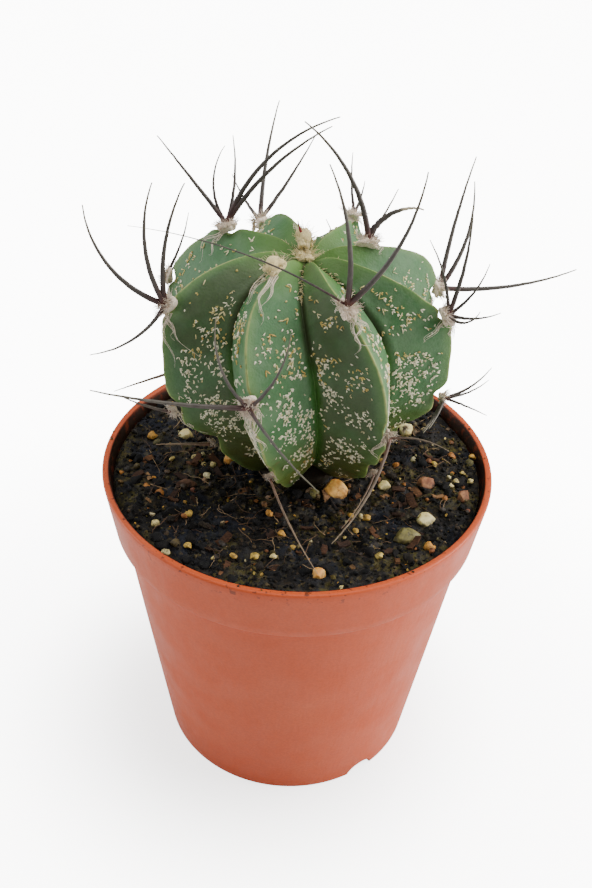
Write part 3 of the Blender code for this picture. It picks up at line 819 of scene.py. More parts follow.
def skin_finish(settings):
    """Waxy green skin, pale on the crests, olive at the foot, with painted shade on one side and on
    the neck.
    """
    finish = Finish("cactus_skin", 0.5, 0.3)
    band, cloud, blend, join = finish.band, finish.cloud, finish.blend, finish.join
    off, station = finish.value_of("off_crest"), finish.value_of("station")
    mottle = cloud(3.2 * MM, 5, 0.62)
    bloom = join(band(mottle, 0.36, 0.66, 0.1, 0.8), band(station, 0.35, 0.72, 1.0, 0.55))
    colour = blend(bloom, settings.colour, settings.bloom_colour)
    foot = join(band(station, 0.56, 0.74), band(cloud(5 * MM), 0.3, 0.6, 0.55, 1))
    colour = blend(foot, colour, settings.foot_colour)
    colour = blend(band(station, 0.03, 0.2, 0.55, 0), colour, tone(100, 134, 52))
    # painted shade: brownish olive on the flanks that face the front left, turned from the key
    # light
    painted_shade_flank = join(finish.value_of("painted_shade_flank"), band(cloud(6 * MM, 4), 0.3, 0.6, 0.15, 0.6))
    colour = blend(painted_shade_flank, colour, tone(68, 68, 42))
    groove = blend(band(station, 0.34, 0.5), tone(52, 56, 26), settings.groove_colour)
    colour = blend(band(off, 0.84, 0.985, 0, 0.75), colour, groove)
    colour = blend(band(off, 0.0, 0.16, 0.4, 0), colour, tone(112, 142, 76))
    cork = join(band(off, 0.006, 0.034, 0.9, 0), band(cloud(1.5 * MM, 4), 0.36, 0.56, 0.2, 0.9))
    colour = blend(cork, colour, settings.crest_colour)
    rust = join(band(cloud(2.2 * MM, 4), 0.60, 0.74, 0, 0.6), band(station, 0.52, 0.76))
    colour = blend(rust, colour, tone(112, 74, 44))
    # painted shadow: the neck under the overhanging body is darkened to a near black brown
    colour = blend(band(station, 0.862, 0.9), colour, tone(34, 28, 18))
    pores = band(finish.cells(0.42 * MM)["Distance"], 0.0, 0.4, 0.9, 1.03)
    finish.put("Base Color", finish.shaded(colour, pores))
    finish.put("Roughness", band(mottle, 0.3, 0.7, 0.48, 0.66))
    finish.bumps((cloud(1.1 * MM, 4), 0.09), (finish.cells(0.3 * MM)["Distance"], 0.02))
    finish.glow_through(0.12, 0.6, 1.2, 0.4)
    return finish.material


def earth_finish(settings):
    """Nearly black potting mix with olive patches, brown specks and damp glints."""
    finish = Finish("potting_earth", 0.9, 0.3)
    band, cloud, blend = finish.band, finish.cloud, finish.blend
    colour = finish.ramp(
        cloud(1.3 * MM, 6, 0.7), (0.34, settings.colour), (0.56, tone(24, 20, 18)),
        (0.68, tone(52, 42, 30)), (0.82, settings.dry_colour))
    moss = finish.join(band(cloud(7 * MM), 0.48, 0.62, 0, 0.8),
                       band(cloud(0.7 * MM, 4), 0.40, 0.58))
    colour = blend(moss, colour, tone(84, 76, 32))
    wet = band(cloud(8 * MM, place=finish.moved(scale=(1, 1, 0.2))), 0.5, 0.62, 0, 0.8)
    colour = blend(wet, colour, tone(20, 25, 38))
    speck = finish.ramp(
        cloud(0.8 * MM, 2), (0.35, tone(84, 62, 40)), (0.5, tone(96, 84, 48)),
        (0.62, tone(60, 58, 50)), (0.75, tone(132, 96, 62)))
    chance = band(finish.cells(0.55 * MM)["Color"], 0.72, 0.9, 0, 0.6)
    finish.put("Base Color", blend(chance, colour, speck))
    finish.put("Roughness", band(cloud(2.4 * MM), 0.4, 0.6, 0.42, 0.95))
    finish.bumps((cloud(0.6 * MM, 5, 0.7), 0.35), (cloud(0.16 * MM), 0.08))
    return finish.material


def crumb_finish(settings):
    """Crumbs from nearly black earth through olive to dry brown."""
    return tinted_finish(
        "earth_crumbs", 0.88, 0.3, "tint",
        ((0.0, settings.colour), (0.5, tone(20, 17, 16)), (0.72, tone(44, 36, 26)),
         (0.86, tone(86, 76, 34)), (1.0, settings.dry_colour)),
        (0.35, 4, 0.65), (0.3, 0.7, 0.55, 1.35), (0.3, 4, 0.7), 0.14)


def grit_finish():
    """Small mixed grains: cream, tan, amber, olive, rust and grey."""
    return tinted_finish(
        "mixed_grit", 0.62, 0.45, "tint",
        ((0.0, tone(40, 34, 28)), (0.2, tone(84, 62, 38)), (0.36, tone(92, 88, 40)),
         (0.50, tone(140, 82, 40)), (0.64, tone(204, 134, 46)), (0.78, tone(214, 184, 84)),
         (0.9, tone(228, 216, 166)), (1.0, tone(124, 58, 36))),
        (0.6, 4, 0.65), (0.3, 0.66, 0.32, 1.12), (0.3, 4, 0.6), 0.14)


def stone_finish(name, light, dark, stain, roughness, clear=0.0):
    """A mottled stone, soiled where it meets the mix. Its three colours are display ones."""
    finish = Finish(name, roughness)
    band, cloud, blend = finish.band, finish.cloud, finish.blend
    colour = blend(band(cloud(1.3 * MM, 5, 0.65), 0.32, 0.68), tone(*dark), tone(*light))
    colour = blend(band(cloud(0.7 * MM, 4), 0.55, 0.72, 0, 0.8), colour, tone(*stain))
    earthy = finish.join(
        band(finish.height(), SOIL_LEVEL + 0.1 * MM, SOIL_LEVEL + 1.0 * MM, 0.85, 0),
        band(cloud(0.5 * MM, 4), 0.35, 0.6, 0.2, 1))
    finish.put("Base Color", blend(earthy, colour, tone(44, 32, 25)))
    finish.bumps((cloud(0.8 * MM, 5, 0.6), 0.2), (cloud(0.15 * MM), 0.03))
    if clear:
        finish.glow_through(clear, 0.8, 0.5, 0.25)
    return finish.material


def bark_finish():
    """Brown bark, streaked along its layers."""
    finish = Finish("bark_flakes", 0.85, 0.3)
    colour = finish.ramp(
        finish.value_of("tint"), (0.0, tone(48, 31, 22)), (0.5, tone(84, 54, 34)),
        (0.8, tone(120, 82, 52)), (1.0, tone(150, 116, 80)))
    layers = finish.cloud(0.9 * MM, 5, 0.65, finish.moved(scale=(1, 3.5, 3.5)))
    finish.put("Base Color", finish.shaded(colour, finish.band(layers, 0.3, 0.7, 0.5, 1.3)))
    finish.bumps((layers, 0.2))
    return finish.material


def fibre_finish():
    """Dry root fibres, brown to straw."""
    return tinted_finish(
        "root_fibres", 0.7, 0.4, "tint",
        ((0.0, tone(62, 42, 30)), (0.6, tone(112, 82, 56)), (1.0, tone(176, 148, 112))),
        (0.6,), (0.3, 0.7, 0.7, 1.2), (0.2, 2), 0.02)


def fleck_finish(settings):
    """Felted cream flecks, a few of them yellowed or browned."""
    return tinted_finish(
        "skin_flecks", 0.9, 0.2, "tint",
        ((0.0, settings.fleck_colour), (0.6, tone(240, 232, 196)), (0.84, tone(216, 196, 118)),
         (1.0, tone(176, 132, 78))),
        (0.18,), (0.3, 0.7, 0.78, 1.08), (0.12,), 0.05)


def wool_finish(settings, name="areole_wool", crown=False):
    """Felted wool by age: white strands at -0.5, fresh cream at 0 and old tan at 1."""
    finish = Finish(name, 0.92, 0.2)
    band, cloud, blend = finish.band, finish.cloud, finish.blend
    age = finish.value_of("age")
    fresh = settings.crown_colour if crown else settings.colour
    colour = blend(band(age, -0.5, -0.1), settings.colour, fresh)
    colour = blend(band(age, 0.0, 1.0), colour, settings.old_colour)
    matted = cloud(0.55 * MM, 5, 0.65)
    patches = finish.join(band(matted, 0.50, 0.72, 0, 0.55), band(age, -0.4, 0.0))
    colour = blend(patches, colour, tone(176, 136, 108))
    fibre = cloud(0.12 * MM, place=finish.moved(scale=(1, 1, 0.3)))
    finish.put("Base Color", finish.shaded(colour, band(fibre, 0.3, 0.7, 0.8, 1.06)))
    finish.bumps((matted, 0.2), (cloud(0.1 * MM, 2), 0.04))
    finish.put("Sheen Weight", 0.25)
    finish.glow_through(0.15, 0.4, 0.3, 0.2)
    return finish.material


def spine_finish(settings):
    """Horny spines, reddish at the root and olive grey at the tip, tan once dead."""
    finish = Finish("spine_horn", 0.46)
    along = finish.value_of("along")
    live = finish.ramp(
        along, (0.0, tone(118, 72, 60)), (0.06, settings.root_colour), (0.20, settings.colour),
        (0.68, tone(80, 75, 66)), (1.0, settings.tip_colour))
    dead = finish.ramp(along, (0.0, tone(96, 66, 48)), (0.5, settings.dead_colour),
                       (1.0, tone(150, 126, 98)))
    colour = finish.blend(finish.band(finish.value_of("age"), 0.2, 0.9), live, dead)
    colour = finish.blend(finish.value_of("papery"), colour, tone(196, 182, 156))
    streak = finish.band(finish.cloud(0.9 * MM, 5, 0.65), 0.3, 0.7, 0.72, 1.25)
    finish.put("Base Color", finish.shaded(colour, streak))
    finish.bumps((finish.cloud(0.35 * MM, 4), 0.05))
    return finish.material


def young_spine_finish():
    """The clear red of a spine that has just grown."""
    return tinted_finish(
        "young_spine", 0.38, 0.5, "along",
        ((0.0, tone(150, 60, 50)), (0.5, tone(128, 26, 34)), (1.0, tone(86, 20, 30))),
        (0.5,), (0.3, 0.7, 0.85, 1.15), (0.3,), 0.03)


def floor_finish(settings):
    """Matt white card that glows a little to the eye, with a painted soft shadow: it glows less
    near the pot.
    """
    finish = Finish("studio_card", 0.8, 0.2)
    light = settings.floor_colour
    finish.put("Base Color", finish.blend(finish.cloud(0.25, 2), [0.985 * item for item in light],
                                          light))
    # painted shadow: the glow is turned down round the pot's base, centred a little to its left and
    # front
    away = finish.length(finish.moved(location=(6 * MM, 2 * MM, 0)))
    near = finish.band(away, 14 * MM, 44 * MM, 0.25, 0.72)
    far = finish.band(away, 30 * MM, 95 * MM, 0, 0.28)
    glow, add, seen = finish.node("Emission"), finish.node("AddShader"), finish.node("MixShader")
    glow.inputs["Color"].default_value = (1.0, 0.995, 0.985, 1)
    finish.plug(finish.join(finish.join(near, far, "ADD"), settings.floor_glow),
                glow.inputs["Strength"])
    card = finish.shader.outputs[0]
    for item, socket in ((card, add.inputs[0]), (glow.outputs[0], add.inputs[1]),
                         (finish.node("LightPath").outputs["Is Camera Ray"], seen.inputs[0]),
                         (card, seen.inputs[1]), (add.outputs[0], seen.inputs[2]),
                         (seen.outputs[0], finish.tree.nodes["Material Output"].inputs["Surface"])):
        finish.plug(item, socket)
    return finish.material


# ---------------------------------------------------------------- pieces

def rounded_corner(radius, height, size, start, steps=5):
    """Points of a quarter turn of the given size, inside the corner at (radius, height)."""
    centre = (radius - size, height + size if start < 0 else height - size)
    turns = [radians(start + 90 * i / steps) for i in range(steps + 1)]
    return [(centre[0] + size * cos(t), centre[1] + size * sin(t)) for t in turns]


def between(first, last, count):
    """Evenly spaced points of a straight line, without its first one."""
    first, last = np.array(first), np.array(last)
    return [tuple(first + (last - first) * i / count) for i in range(1, count + 1)]


def pot_profile(edge):
    """The pot's outline from the middle of its floor, over the lip, to the middle below."""
    step = BAND_LEVEL + WALL
    floor_radius, lip_radius = pot_inner_radius(POT_FLOOR), RIM_RADIUS - WALL
    line = [(CENTRE_RING, POT_FLOOR), (floor_radius - 0.5 * MM, POT_FLOOR),
            (floor_radius, POT_FLOOR + 0.5 * MM)]
    line += between(line[-1], (BODY_RADIUS - WALL, step), 12)
    line += between(line[-1], (BAND_RADIUS - WALL, step + WALL / 4), 2)
    line += between(line[-1], (lip_radius, POT_HEIGHT - 0.25 * MM), 8)
    line += [(lip_radius + 0.08 * MM, POT_HEIGHT - 0.07 * MM), (lip_radius + 0.25 * MM, POT_HEIGHT)]
    line += rounded_corner(RIM_RADIUS, POT_HEIGHT, edge, 0)[::-1]
    line += between(line[-1], (BAND_RADIUS + 0.1 * MM, BAND_LEVEL + 0.35 * MM), 8)
    line += [(BAND_RADIUS - 0.06 * MM, BAND_LEVEL + 0.08 * MM),
             (BAND_RADIUS - 0.32 * MM, BAND_LEVEL - 0.02 * MM)]
    line += between(line[-1], (BODY_RADIUS + 0.12 * MM, BAND_LEVEL - 0.18 * MM), 2)
    line.append((BODY_RADIUS - 0.02 * MM, BAND_LEVEL - 0.5 * MM))
    foot = rounded_corner(BASE_RADIUS, 0, FOOT_ROUND, -90)[::-1]
    line += between(line[-1], foot[0], 26) + foot[1:]
    return line + [(BASE_RADIUS - 2.2 * MM, 0), (CENTRE_RING, 0)]


def make_nursery_pot(settings):
    """The pot is drawn out ring by ring from a circle on its floor, and closed at both ends."""
    profile = pot_profile(settings.edge_round)
    radius, height = profile[0]
    pot = start_piece("nursery_pot", bpy.ops.mesh.primitive_circle_add, vertices=192,
                      radius=radius, location=(0, 0, height), fill_type="NOTHING")
    bpy.ops.object.transform_apply(location=True, rotation=True, scale=True)
    with edited_mesh():
        for next_radius, next_height in profile[1:]:
            bpy.ops.mesh.extrude_region_move(
                TRANSFORM_OT_translate={"value": (0, 0, next_height - height)})
            grow = next_radius / radius
            bpy.ops.transform.resize(value=(grow, grow, 1), center_override=(0, 0, next_height))
            radius, height = next_radius, next_height
        bpy.ops.mesh.merge(type="CENTER")
        bpy.ops.mesh.select_all(action="DESELECT")
        bpy.ops.mesh.select_non_manifold()
        bpy.ops.mesh.merge(type="CENTER")
    for bearing in DRAIN_BEARINGS:
        cut_drain(pot, radians(bearing))
    warp_pot(pot.data, settings.warp)
    select_only(pot)
    bpy.ops.object.shade_smooth_by_angle(angle=radians(38))
    finish_piece(pot, plastic_finish(settings), "pot_plastic", "pot")


def cut_drain(pot, bearing):
    """One rounded notch in the bottom edge."""
    notch = start_piece("drain", bpy.ops.mesh.primitive_cylinder_add, vertices=48, radius=0.5,
                        depth=1, rotation=(pi / 2, 0, 0))
    bpy.ops.object.transform_apply(location=True, rotation=True, scale=True)
    place = Matrix.Translation(Vector(around(BASE_RADIUS, bearing, 0)))
    notch.data.transform(place @ Matrix.Rotation(bearing, 4, "Z")
                         @ Matrix.Diagonal((*DRAIN_SIZE, 1)))
    select_only(pot)
    cut = pot.modifiers.new("Drain", "BOOLEAN")
    cut.operation, cut.object = "DIFFERENCE", notch
    bpy.ops.object.modifier_apply(modifier=cut.name)
    bpy.data.objects.remove(notch, do_unlink=True)


def warp_pot(mesh, warp):
    """The slight waviness of a thin moulded wall, strongest at the lip."""
    points = read_points(mesh)
    bearing = np.arctan2(points[:, 0], -points[:, 1])
    share = (points[:, 2] / POT_HEIGHT) ** 2
    wander = 0.6 * np.sin(2 * bearing + 0.7) + 0.4 * np.sin(3 * bearing + 2.1)
    grow = 1 + (warp * share * wander - 0.5 * warp * share) / RIM_RADIUS
    points[:, :2] *= grow[:, None]
    write_points(mesh, points)


def make_potting_mix(settings):
    """A rolled grid laid out over the top of the mix and down inside the pot."""
    mix, turns, rows = start_roll("potting_mix", 380, 180)
    top = 0.76
    edge_drop = 0.7 * MM
    step = BAND_LEVEL + WALL + CLEARANCE
    side = ((SOIL_RADIUS, SOIL_LEVEL - edge_drop),
            (pot_inner_radius(step) - CLEARANCE, step + WALL / 4),
            (BODY_RADIUS - WALL - CLEARANCE, step),
            (pot_inner_radius(POT_FLOOR) - CLEARANCE, POT_FLOOR + CLEARANCE),
            (0, POT_FLOOR + CLEARANCE))
    marks = np.linspace(0, 1, len(side))
    points = np.empty((len(turns), 3))
    for number, (turn, way) in enumerate(zip(turns * 2 * pi, rows)):
        if way <= top:
            radius = SOIL_RADIUS * way / top
            x, y, _ = around(radius, turn, 0)
            edge = min(1, (SOIL_RADIUS - radius) / (0.9 * MM))
            level = (soil_height(radius) - edge_drop * (1 - edge) ** 2
                     + soil_relief(x, y, settings.roughness) * (0.35 + 0.65 * edge))
        else:
            share = (way - top) / (1 - top)
            radius, level = (np.interp(share, marks, line) for line in zip(*side))
        points[number] = around(radius, turn, level)
    write_points(mix.data, points)
    close_roll(mix)
    finish_piece(mix, earth_finish(settings), "potting_mix", "soil")


def soil_spot(rng, roughness, outer):
    """A random point on the mix between its neck and a radius, even over its area."""
    radius = sqrt(rng.uniform(NECK_RADIUS**2, outer**2))
    x, y, level = around(radius, rng.uniform(0, 2 * pi), soil_height(radius))
    return np.array((x, y, level + soil_relief(x, y, roughness)))


def random_turn(rng, tilt):
    """A turn about Z with a small tilt, as a matrix for rows of points."""
    angles = rng.uniform(-tilt, tilt), rng.uniform(-tilt, tilt), rng.uniform(0, 2 * pi)
    return np.array(Euler(angles).to_matrix()).T


def any_of(rng, shapes):
    return shapes[rng.integers(len(shapes))]


def scatter_grains(rng, shapes, count, sizes, sink, roughness, flat, tint, margin=0.5):
    """Copies of lumpy grains lying on the mix, up to a margin in mm from its edge."""
    copies = []
    for _ in range(count):
        spot = soil_spot(rng, roughness, SOIL_RADIUS - margin * MM)
        size = sizes[0] + (sizes[1] - sizes[0]) * rng.random() ** 2.2
        form = np.array((rng.uniform(0.75, 1.25), rng.uniform(0.7, 1.1),
                         rng.uniform(flat - 0.2, flat + 0.2)))
        turn = random_turn(rng, 0.6)
        shape = any_of(rng, shapes)
        spot[2] += size * (0.5 - sink)
        copies.append(Copy(shape, (shape.points * form * size / 2) @ turn + spot,
                           {"tint": tint(rng.random())}))
    return copies


def finish_litter(name, copies, crease, material, slot="potting_mix"):
    """Joins scattered copies into one piece that stands for the mix, with its edges creased."""
    piece = gather(name, copies)
    if crease:
        piece.data.set_sharp_from_angle(angle=radians(crease))
    finish_piece(piece, material, slot, "soil")


def make_crumbs(settings):
    """Crumbs of earth on the mix, with a few larger lumps and some dust on the lip."""
    rng = np.random.default_rng(SEEDS["crumbs"])
    small, large = balls("crumb", 6, 1, 0.8, 0.3), balls("lump", 6, 2, 0.8, 20.3)
    copies = scatter_grains(rng, small, settings.crumbs, (0.16 * MM, 0.72 * MM), 0.3,
                            settings.roughness, flat=0.65, tint=lambda draw: draw**2.2)
    copies += scatter_grains(rng, large, settings.crumbs // 18, (0.7 * MM, 1.9 * MM), 0.42,
                             settings.roughness, flat=0.6, tint=lambda draw: 0.7 * draw**2,
                             margin=1.1)
    for _ in range(LIP_CRUMBS):
        shape = any_of(rng, small)
        bearing = rng.uniform(0, 2 * pi)
        at = around(RIM_RADIUS - rng.uniform(0.15, 0.9) * MM, bearing, POT_HEIGHT + 0.04 * MM)
        size = rng.uniform(0.08, 0.24) * MM
        copies.append(Copy(shape, shape.points * size * (1, 1, 0.6) + at,
                           {"tint": rng.uniform(0.7, 1)}))
    finish_litter("earth_crumbs", copies, 42, crumb_finish(settings))


def make_grit(settings):
    """Small coloured grains, the brightest of them in places of their own."""
    rng = np.random.default_rng(SEEDS["grit"])
    shapes = balls("grain", 6, 2, 0.62, 40.7)
    copies = scatter_grains(rng, shapes, settings.grit, (0.25 * MM, 1.15 * MM), 0.34,
                            settings.roughness, flat=0.75, tint=lambda draw: draw**1.7, margin=0.8)
    for grain in GRAINS:
        shape = any_of(rng, shapes)
        radius = grain.radius * MM
        at = around(radius, radians(grain.bearing), soil_height(radius) + 0.3 * MM)
        form = np.array((rng.uniform(0.85, 1.15), rng.uniform(0.75, 1.0), rng.uniform(0.6, 0.85)))
        copies.append(Copy(shape, shape.points * form * grain.size / 2 * MM + at,
                           {"tint": grain.tint}))
    finish_litter("mixed_grit", copies, 50, grit_finish(), "grit")


def flake_shape(seed):
    """A torn flake: a cube flattened, subdivided and roughened."""
    piece = start_piece("flake", bpy.ops.mesh.primitive_cube_add, size=2)
    with edited_mesh():
        bpy.ops.mesh.subdivide(number_cuts=1)
    points = read_points(piece.data)
    rough = np.stack([lumps(points, 1.1, seed + axis * 5) for axis in range(3)], -1)
    points = points * (1, 0.42, 0.16) + rough * (0.35, 0.2, 0.14)
    points[:, 2] += 0.18 * points[:, 0] ** 2 * (1 if seed % 2 else -1)
    write_points(piece.data, points)
    return take_shape(piece)


def make_bark(settings):
    """Torn flakes of bark that lie on the mix at slight tilts."""
    rng = np.random.default_rng(SEEDS["bark"])
    shapes = [flake_shape(i) for i in range(5)]
    copies = []
    for _ in range(settings.bark):
        spot = soil_spot(rng, settings.roughness, SOIL_RADIUS - 1.6 * MM)
        size = rng.uniform(0.35, 1.2) * MM
        turn = random_turn(rng, 0.5)
        spot[2] += 0.15 * MM
        shape = any_of(rng, shapes)
        copies.append(Copy(shape, (shape.points * size) @ turn + spot,
                           {"tint": rng.random() ** 1.4}))
    finish_litter("bark_flakes", copies, 40, bark_finish())


def make_fibres(settings):
    """Fine roots that lie in loose curves over the mix."""
    rng = np.random.default_rng(SEEDS["fibres"])
    thread = straight_tube("thread", 4, 8)
    widest = SOIL_RADIUS - 0.3 * MM
    copies = []
    for _ in range(settings.fibres):
        spot = soil_spot(rng, settings.roughness, SOIL_RADIUS - 4 * MM)
        spot[2] += 0.25 * MM
        way = rng.uniform(0, 2 * pi)
        first = (cos(way), sin(way), rng.uniform(-0.05, 0.25))
        bend = way + rng.uniform(-1.6, 1.6)
        last = (cos(bend), sin(bend), rng.uniform(-0.5, 0.0))
        points = bend_tube(thread, spot, first, last, rng.uniform(1.5, 5.5) * MM,
                           rng.uniform(0.03, 0.075) * MM, tip=0.6, wave=0.05,
                           phase=rng.uniform(0, 6))
        points[:, :2] *= min(1, widest / np.hypot(points[:, 0], points[:, 1]).max())
        copies.append(Copy(thread, points, {"tint": rng.random()}))
    finish_litter("root_fibres", copies, 0, fibre_finish())


def stone_place(stone):
    """Centre of a stone that lies between the neck and the wall."""
    inner = NECK_RADIUS + CLEARANCE + stone.length * MM / 2
    outer = pot_inner_radius(SOIL_LEVEL) - 2 * CLEARANCE - stone.length * MM / 2
    radius = inner + stone.reach * (outer - inner)
    height = soil_height(radius) + (0.5 - STONE_SINK) * stone.height * MM
    return Vector(around(radius, radians(stone.bearing), height))


def make_stones():
    """Balls made lumpy, worn flat on a few sides and half sunk in the mix."""
    finishes = {name: stone_finish(name, *looks) for name, looks in STONE_FINISHES.items()}
    facets = [np.array(Vector(way).normalized()) for way in (
        (1, 0.3, 0.5), (-0.8, 0.5, 0.4), (0.2, -1, 0.5), (-0.3, -0.4, 1), (0.5, 0.8, 0.2))]
    for number, stone in enumerate(STONES):
        piece = start_piece("pebble_" + stone.name, bpy.ops.mesh.primitive_ico_sphere_add,
                            subdivisions=5, radius=1)
        points = read_points(piece.data)
        seed = number * 3.7
        points *= (1 + 0.14 * lumps(points, 0.75, seed) + 0.06 * lumps(points, 0.32, seed + 5)
                   + 0.025 * lumps(points, 0.14, seed + 9))[:, None]
        for index, facet in enumerate(facets):
            flat = 0.78 + 0.09 * sin(seed + index * 2.1)
            over = np.maximum(0, points @ facet - flat)
            points -= np.outer(over * 0.8, facet)
        points *= np.array((stone.length, stone.width, stone.height)) * MM / 2
        write_points(piece.data, points)
        piece.data.transform(Matrix.Translation(stone_place(stone))
                             @ Matrix.Rotation(radians(stone.turn), 4, "Z"))
        piece.data.shade_smooth()
        finish_piece(piece, finishes[stone.finish], "grit", "stone_" + stone.name)


def make_ribbed_stem(settings):
    """A rolled grid drawn out to the ribbed body above and the tapered root below."""
    stem, turns, down = start_roll("ribbed_stem", 384, 240)
    count = len(RIB_BEARINGS)
    turns = turns * count
    near = np.round(turns)
    gap = np.abs(turns - near) * 2
    gathered = (gap - 0.5 * np.sin(2 * pi * gap) / (2 * pi)) / 2
    place = (near + np.sign(turns - near) * gathered) % count
    angle = np.minimum(down / BODY_SHARE, 1) * NECK_ANGLE
    body = skin_points(place, angle, settings.dimple, settings.chin)
    share = np.clip((down - BODY_SHARE) / (1 - BODY_SHARE), 0, 1)
    bearing = rib_bearing(place) + TWIST * (NECK_ANGLE - TWIST_FROM)
    neck = NECK_RADIUS * (1 - share) ** ROOT_TAPER
    root = np.stack([neck * np.sin(bearing), -neck * np.cos(bearing),
                     NECK_LEVEL - share * ROOT_DEPTH], -1)
    points = np.where((down <= BODY_SHARE)[:, None], body, root)
    ease = np.clip(angle / radians(20), 0, 1) * np.clip((1 - down) * 8, 0, 1)
    waves = 0.16 * MM * lumps(points, 4.5 * MM, 2.0) + 0.05 * MM * lumps(points, 1.3 * MM, 6.0)
    out = points - (0, 0, WIDEST_LEVEL)
    out /= np.maximum(1e-9, np.linalg.norm(out, axis=1, keepdims=True))
    write_points(stem.data, points + out * (waves * ease)[:, None])
    write_values(stem.data, "off_crest", off_crest(place))
    write_values(stem.data, "station", angle / pi)
    # painted shade on each flank, stronger the nearer it faces the front left, turned from the key
    # light
    flank = np.sign(place - np.round(place)) * radians(50)
    facing = rib_bearing(np.round(place)) + TWIST * (angle - TWIST_FROM) + flank
    toward = np.cos(facing - PAINTED_SHADE_BEARING)
    write_values(stem.data, "painted_shade_flank", np.clip((toward - 0.75) / 0.2, 0, 1)
                 * np.clip(off_crest(place) * 5, 0, 1))
    close_roll(stem)
    finish_piece(stem, skin_finish(settings), "cactus_skin", "cactus_stem")


def fleck_chance(off, station, clump):
    """How thickly the flecks stand at a place on a flank."""
    flank = np.clip((off - 0.09) / 0.14, 0, 1)
    flank = flank * np.clip((0.93 + 0.05 * (station < 70) - off) / 0.12, 0, 1)
    level = np.interp(station, (12, 34, 50, 66, 84, 96, 108, 120, 134, 148),
                      (0.02, 0.1, 0.26, 0.36, 0.62, 1.0, 1.0, 0.62, 0.46, 0.14))
    return flank * level * np.clip(0.55 + 1.9 * clump, 0.05, 1)


def fleck_places(rng, count):
    """Places and angles of flecks, drawn in batches and kept by their chance."""
    places, angles = [], []
    while len(places) < count:
        place = rng.uniform(0, len(RIB_BEARINGS), FLECK_BATCH)
        station = rng.uniform(*FLECK_STATIONS, FLECK_BATCH)
        spots = skin_points(place, np.radians(station))
        wide = np.hypot(spots[:, 0], spots[:, 1]) / STEM_RADIUS
        chance = fleck_chance(off_crest(place), station, lumps(spots, 3.2 * MM, 9.0)) * wide
        keep = rng.random(FLECK_BATCH) < chance
        places += list(place[keep])
        angles += list(np.radians(station[keep]))
    return np.array(places[:count]), np.array(angles[:count])


def make_flecks(settings):
    """Small felted tufts that lie thickest on the lower flanks, about half of them forked."""
    rng = np.random.default_rng(SEEDS["flecks"])
    shapes = balls("fleck", 6, 1, 0.7, 60.1)
    places, angles = fleck_places(rng, settings.flecks)
    frames = skin_frames(places, angles)
    brown = lumps(frames[0], 5 * MM, 14.0)
    copies = []
    for number, (place, angle) in enumerate(zip(places, angles)):
        point, normal, down = (item[number] for item in frames)
        lean = rng.normal(0, 0.55) + (0.5 if (place % 1) > 0.5 else -0.5)
        way = down * cos(lean) + np.cross(normal, down) * sin(lean)
        length = settings.fleck_length * rng.uniform(0.6, 1.15)
        length *= 1.8 if rng.random() < 0.14 else 1
        width = settings.fleck_length * rng.uniform(0.26, 0.46)
        tint = rng.random() ** 1.5 * 0.72 + 0.5 * max(0, brown[number])
        if angle < radians(86) and rng.random() < 0.45:
            tint = rng.uniform(0.7, 0.95)
        forks = (0, rng.choice((-1, 1)) * rng.uniform(0.7, 1.5))[:1 + (rng.random() < 0.5)]
        for fork in forks:
            line = way * cos(fork) + np.cross(normal, way) * sin(fork)
            axes = np.stack([line * length / 2, np.cross(normal, line) * width / 2,
                             normal * 0.11 * MM])
            shape = any_of(rng, shapes)
            start = (line - way) * length * 0.45 if fork else 0
            points = shape.points @ axes + point + normal * 0.03 * MM + start
            copies.append(Copy(shape, points, {"tint": np.clip(tint, 0, 1)}))
    finish_piece(gather("skin_flecks", copies), fleck_finish(settings), "wool", "cactus_stem")


# a pad's place and its directions, with its radius and its height and lift in radii
Pad = namedtuple("Pad", "areole young centre out side down radius tall lift")


def areole_pad(areole):
    """Where an areole's pad sits on its crest, and its size."""
    point, out, bearing = crest_frame(areole.rib, areole.station)
    side = around(1, bearing + pi / 2, 0)
    down = np.cross(side, out)
    if down[2] > 0:
        down = -down
    young = areole.name.endswith("crown")
    centre = point + out * (PAD_THICKNESS / 2 - 0.15 * MM) * (1 - 0.6 * areole.age)
    radius = areole.radius * MM * (1 - 0.42 * areole.age)
    tall, lift = (0.72, 0.25) if young else (0.5, 0)
    return Pad(areole, young, centre, out, side, down, radius, tall, lift)


def felt_copies(rng, pad, shape, clumps):
    """The felted pad with the small clumps that break up its outline."""
    age, radius = pad.areole.age, pad.radius
    axes = np.stack([pad.side * radius * (0.74 if pad.young else 0.58),
                     pad.down * radius * (1.05 if pad.young else 0.9),
                     pad.out * radius * pad.tall])
    body = shape.points @ axes + pad.centre + pad.out * pad.lift * radius
    copies = [Copy(shape, body, {"age": age})]
    for _ in range(PAD_CLUMPS):
        lump = any_of(rng, clumps)
        shift = (pad.side * rng.uniform(-0.7, 0.7) + pad.down * rng.uniform(-0.7, 1.2)) * radius
        grow = rng.uniform(0.14, 0.38)
        points = (lump.points @ axes) * grow + pad.centre + shift + pad.out * radius * (
            pad.tall * rng.uniform(0.0, 0.7) + pad.lift)
        copies.append(Copy(lump, points, {"age": min(1, age + rng.uniform(0, 0.35))}))
    return copies


